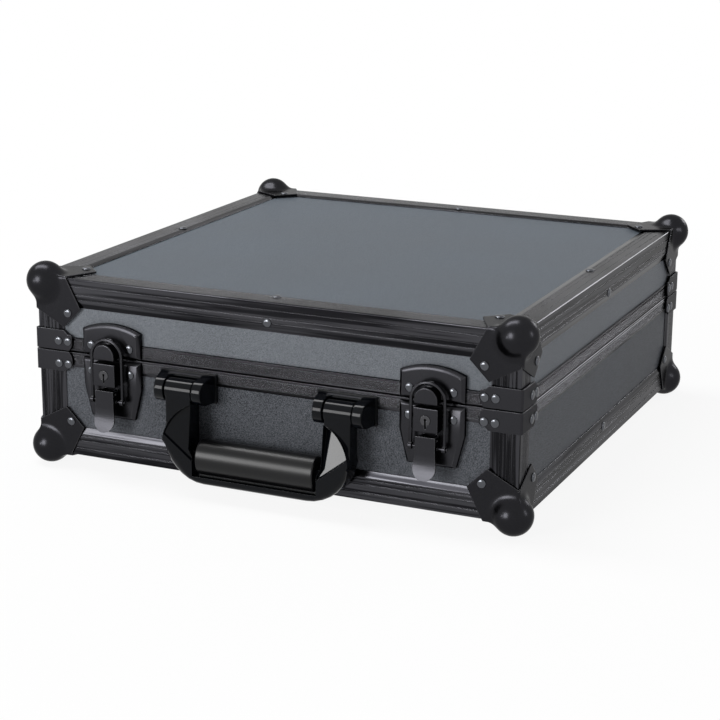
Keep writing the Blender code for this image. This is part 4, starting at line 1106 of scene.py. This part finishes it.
@dataclass
class FoamLining:
    """Foam floor, foam walls and convoluted foam in the lid.

    Attributes:
        cell: about how far it is from a peak to the next hollow.
        steps: mesh faces along a cell.
        backing: the thickness of the flat part that carries the peaks.
        fade: the peaks sink over this many cells towards the foam's edge.
        cuts: cuts across each face of the floor.
        edge, segments: the width of the soft edges, and the faces across it.
    """

    cell: float = 0.0223
    steps: int = 6
    backing: float = 0.0080
    fade: float = 0.5
    cuts: int = 10
    edge: float = 0.0030
    segments: int = 3

    def floor(self, shop: Workshop) -> None:
        """Makes the foam floor: a block with soft edges.

        Args:
            shop: the workshop.
        """
        low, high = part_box("base_floor_foam")
        bpy.ops.mesh.primitive_cube_add(size=1.0, location=(low + high) / 2)
        piece = bpy.context.view_layer.objects.active
        piece.name = piece.data.name = "base_floor_foam_pad"
        piece.scale = high - low
        bpy.ops.object.transform_apply(location=True, rotation=False, scale=True)
        open_edit(piece)
        bpy.ops.mesh.select_all(action="SELECT")
        bpy.ops.mesh.subdivide(number_cuts=self.cuts)
        close_edit()
        round_edges(piece, self.edge, self.segments, FOAM_BEND)
        shop.finish(piece, Finishes.FOAM, "base", ("base_floor_foam",))

    def walls(self, shop: Workshop) -> None:
        """Makes the four foam strips round the base as one ring with soft edges.

        Args:
            shop: the workshop.
        """
        piece = shop.copy_node("base_wall_foam", "base_wall_foam_pad")
        round_edges(piece, self.edge, self.segments, FOAM_BEND)
        shop.finish(piece, Finishes.FOAM, "base", ("base_wall_foam",))

    def egg_crate(self, shop: Workshop) -> None:
        """Makes the lid's convoluted foam: rounded peaks that point down from a flat backing.

        Args:
            shop: the workshop.
        """
        low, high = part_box("lid_egg_crate_foam")
        size = high - low
        middle = (low + high) / 2
        wide, deep = round(size.x / self.cell), round(size.y / self.cell)
        bpy.ops.mesh.primitive_grid_add(x_subdivisions=wide * self.steps,
                                        y_subdivisions=deep * self.steps, size=1.0,
                                        location=(middle.x, middle.y, 0))
        piece = bpy.context.view_layer.objects.active
        piece.name = piece.data.name = "lid_egg_crate_foam_pad"
        piece.scale = (size.x, size.y, 1.0)
        bpy.ops.object.transform_apply(location=True, rotation=False, scale=True)
        open_edit(piece)
        mesh = bmesh.from_edit_mesh(piece.data)
        for vertex in mesh.verts:
            across = (vertex.co.x - low.x) / size.x * wide
            along = (vertex.co.y - low.y) / size.y * deep
            wave = (2 - math.cos(math.pi * across) - math.cos(math.pi * along)) / 4
            border = min(across, wide - across, along, deep - along)
            share = min(1.0, max(0.0, border / self.fade))
            vertex.co.z = high.z - self.backing - (size.z - self.backing) * wave * share
        bmesh.update_edit_mesh(piece.data)
        bpy.ops.mesh.select_mode(type="EDGE")
        mesh = bmesh.from_edit_mesh(piece.data)
        for line in mesh.edges:
            line.select = line.is_boundary
        bmesh.update_edit_mesh(piece.data)
        bpy.ops.mesh.extrude_edges_move(TRANSFORM_OT_translate={"value": (0, 0, self.backing)})
        bpy.ops.mesh.edge_face_add()
        bpy.ops.mesh.select_all(action="SELECT")
        bpy.ops.mesh.normals_make_consistent(inside=False)
        close_edit()
        shop.finish(piece, Finishes.FOAM, "lid", ("lid_egg_crate_foam",))

    def build(self, shop: Workshop) -> None:
        """Makes the whole lining.

        Args:
            shop: the workshop.
        """
        self.floor(shop)
        self.walls(shop)
        self.egg_crate(shop)


# Studio

@dataclass(frozen=True)
class Softbox:
    """A rectangular soft light that faces the case.

    Attributes:
        name: the light's name.
        spot: where it stands.
        size: its width and height.
        radiance: how bright its face is, where one is white.
    """

    name: str
    spot: tuple[float, float, float]
    size: tuple[float, float]
    radiance: float

    def build(self, aim: Vector) -> None:
        """Adds the light.

        Args:
            aim: the point it faces.
        """
        width, height = self.size
        light = bpy.data.lights.new(self.name, "AREA")
        light.shape = "RECTANGLE"
        light.size = width
        light.size_y = height
        light.energy = self.radiance * math.pi * width * height
        lamp = bpy.data.objects.new(self.name, light)
        bpy.context.scene.collection.objects.link(lamp)
        lamp.location = self.spot
        lamp.rotation_euler = (aim - Vector(self.spot)).to_track_quat("-Z", "Y").to_euler()


@dataclass
class Studio:
    """Plain pale floor, soft lights and the camera of the photograph.

    Attributes:
        white: how much of the floor glows white near the case.
        near, far: from where to where that share grows to one.
        ambient: how bright the surroundings are as light.
        lens, sensor: the camera's focal length and the width of its frame, in millimetres.
        yaw, pitch, roll: its turn to the right, down and about its own axis, in degrees.
    """

    floor_size: float = 14.0
    floor_tone: float = 0.80
    floor_roughness: float = 0.9
    white: float = 0.90
    near: float = 0.30
    far: float = 1.00
    ambient: float = 0.25
    softboxes: tuple[Softbox, ...] = (
        Softbox("front_softbox", (-1.10, -2.65, 0.70), (1.05, 1.10), 13.0),
        Softbox("overhead_softbox", (-1.05, 0.02, 2.25), (0.70, 2.20), 11.0),
        Softbox("back_right_softbox", (1.05, 2.65, 1.05), (0.85, 0.75), 10.0),
        Softbox("right_softbox", (2.38, 0.06, 0.73), (0.30, 0.70), 8.0),
        Softbox("low_left_softbox", (-1.59, -1.84, 0.18), (0.24, 0.24), 26.0))
    lens: float = 97.2
    sensor: float = 36.0
    clip: tuple[float, float] = (0.05, 60.0)
    camera_spot: tuple[float, float, float] = (0.6615, -1.5056, 0.5259)
    yaw: float = 24.097
    pitch: float = 15.751
    roll: float = 0.435

    def seen(self, sheet: NodeSheet) -> NodeSocket:
        """Gives one for a ray from the camera, a reflection or glass, and zero for the rest.

        Args:
            sheet: the node tree to add to.

        Returns:
            The socket.
        """
        path = sheet.add("ShaderNodeLightPath")
        first = sheet.math("MAXIMUM", path.outputs["Is Camera Ray"], path.outputs["Is Glossy Ray"])
        return sheet.math("MAXIMUM", first, path.outputs["Is Transmission Ray"])

    def floor(self) -> None:
        """Lays a white floor that keeps a faint shadow."""
        bpy.ops.mesh.primitive_plane_add(size=self.floor_size, location=(0, 0, 0))
        floor = bpy.context.view_layer.objects.active
        floor.name = "studio_floor"
        material = bpy.data.materials.new("studio_floor")
        sheet = NodeSheet(material)
        sheet.shader.inputs["Base Color"].default_value = grey(self.floor_tone)
        sheet.shader.inputs["Roughness"].default_value = self.floor_roughness
        sheet.shader.inputs["Specular IOR Level"].default_value = 0.0
        glow = sheet.add("ShaderNodeEmission")
        glow.inputs["Color"].default_value = grey(1.0)
        away = sheet.add("ShaderNodeVectorMath", operation="LENGTH")
        sheet.join(sheet.add("ShaderNodeTexCoord").outputs["Object"], away.inputs[0])
        white = sheet.map_range(away.outputs["Value"], (self.near, self.far), (self.white, 1.0))
        blend = sheet.add("ShaderNodeMixShader")
        sheet.join(sheet.math("MULTIPLY", self.seen(sheet), white), blend.inputs["Fac"])
        sheet.join(sheet.shader.outputs["BSDF"], blend.inputs[1])
        sheet.join(glow.outputs["Emission"], blend.inputs[2])
        sheet.join(blend.outputs["Shader"], sheet.tree.nodes["Material Output"].inputs["Surface"])
        floor.data.materials.append(material)

    def world(self) -> None:
        """Makes the surroundings white to the camera and to reflections, and soft as light."""
        world = bpy.data.worlds.new("studio")
        bpy.context.scene.world = world
        sheet = NodeSheet(world)
        sheet.shader.inputs["Color"].default_value = grey(1.0)
        strength = sheet.map_range(self.seen(sheet), (0.0, 1.0), (self.ambient, 1.0))
        sheet.join(strength, sheet.shader.inputs["Strength"])

    def camera(self) -> None:
        """Sets the camera where the photograph was taken from."""
        yaw, pitch, roll = (math.radians(angle) for angle in (self.yaw, self.pitch, self.roll))
        data = bpy.data.cameras.new("camera")
        data.lens = self.lens
        data.sensor_width = self.sensor
        data.clip_start, data.clip_end = self.clip
        camera = bpy.data.objects.new("camera", data)
        bpy.context.scene.collection.objects.link(camera)
        camera.matrix_world = (Matrix.Translation(self.camera_spot) @ Matrix.Rotation(yaw, 4, "Z")
                               @ Matrix.Rotation(math.pi / 2 - pitch, 4, "X")
                               @ Matrix.Rotation(roll, 4, "Z"))
        bpy.context.scene.camera = camera

    def build(self, aim: Vector) -> None:
        """Sets up the whole studio.

        Args:
            aim: the point that the lights face.
        """
        bpy.context.scene.view_settings.view_transform = "Standard"
        self.floor()
        self.world()
        for softbox in self.softboxes:
            softbox.build(aim)
        self.camera()


def clear_start() -> None:
    """Removes what the start-up file holds."""
    for item in list(bpy.data.objects):
        bpy.data.objects.remove(item, do_unlink=True)


def main() -> None:
    """Builds the dressed case round the CAD frame."""
    logging.basicConfig(level=logging.INFO, format="%(message)s", stream=sys.stdout)
    clear_start()
    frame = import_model()
    shop = Workshop(frame)
    Studio().build(shop.case.middle)
    Shell().build(shop)
    BallCorners().build(shop)
    Braces().build(shop)
    EdgeRivets().build(shop)
    Latches().build(shop)
    DropHandle().build(shop)
    Hinges().build(shop)
    FoamLining().build(shop)
    shop.rivets.build(shop)


if __name__ == "__main__":
    main()
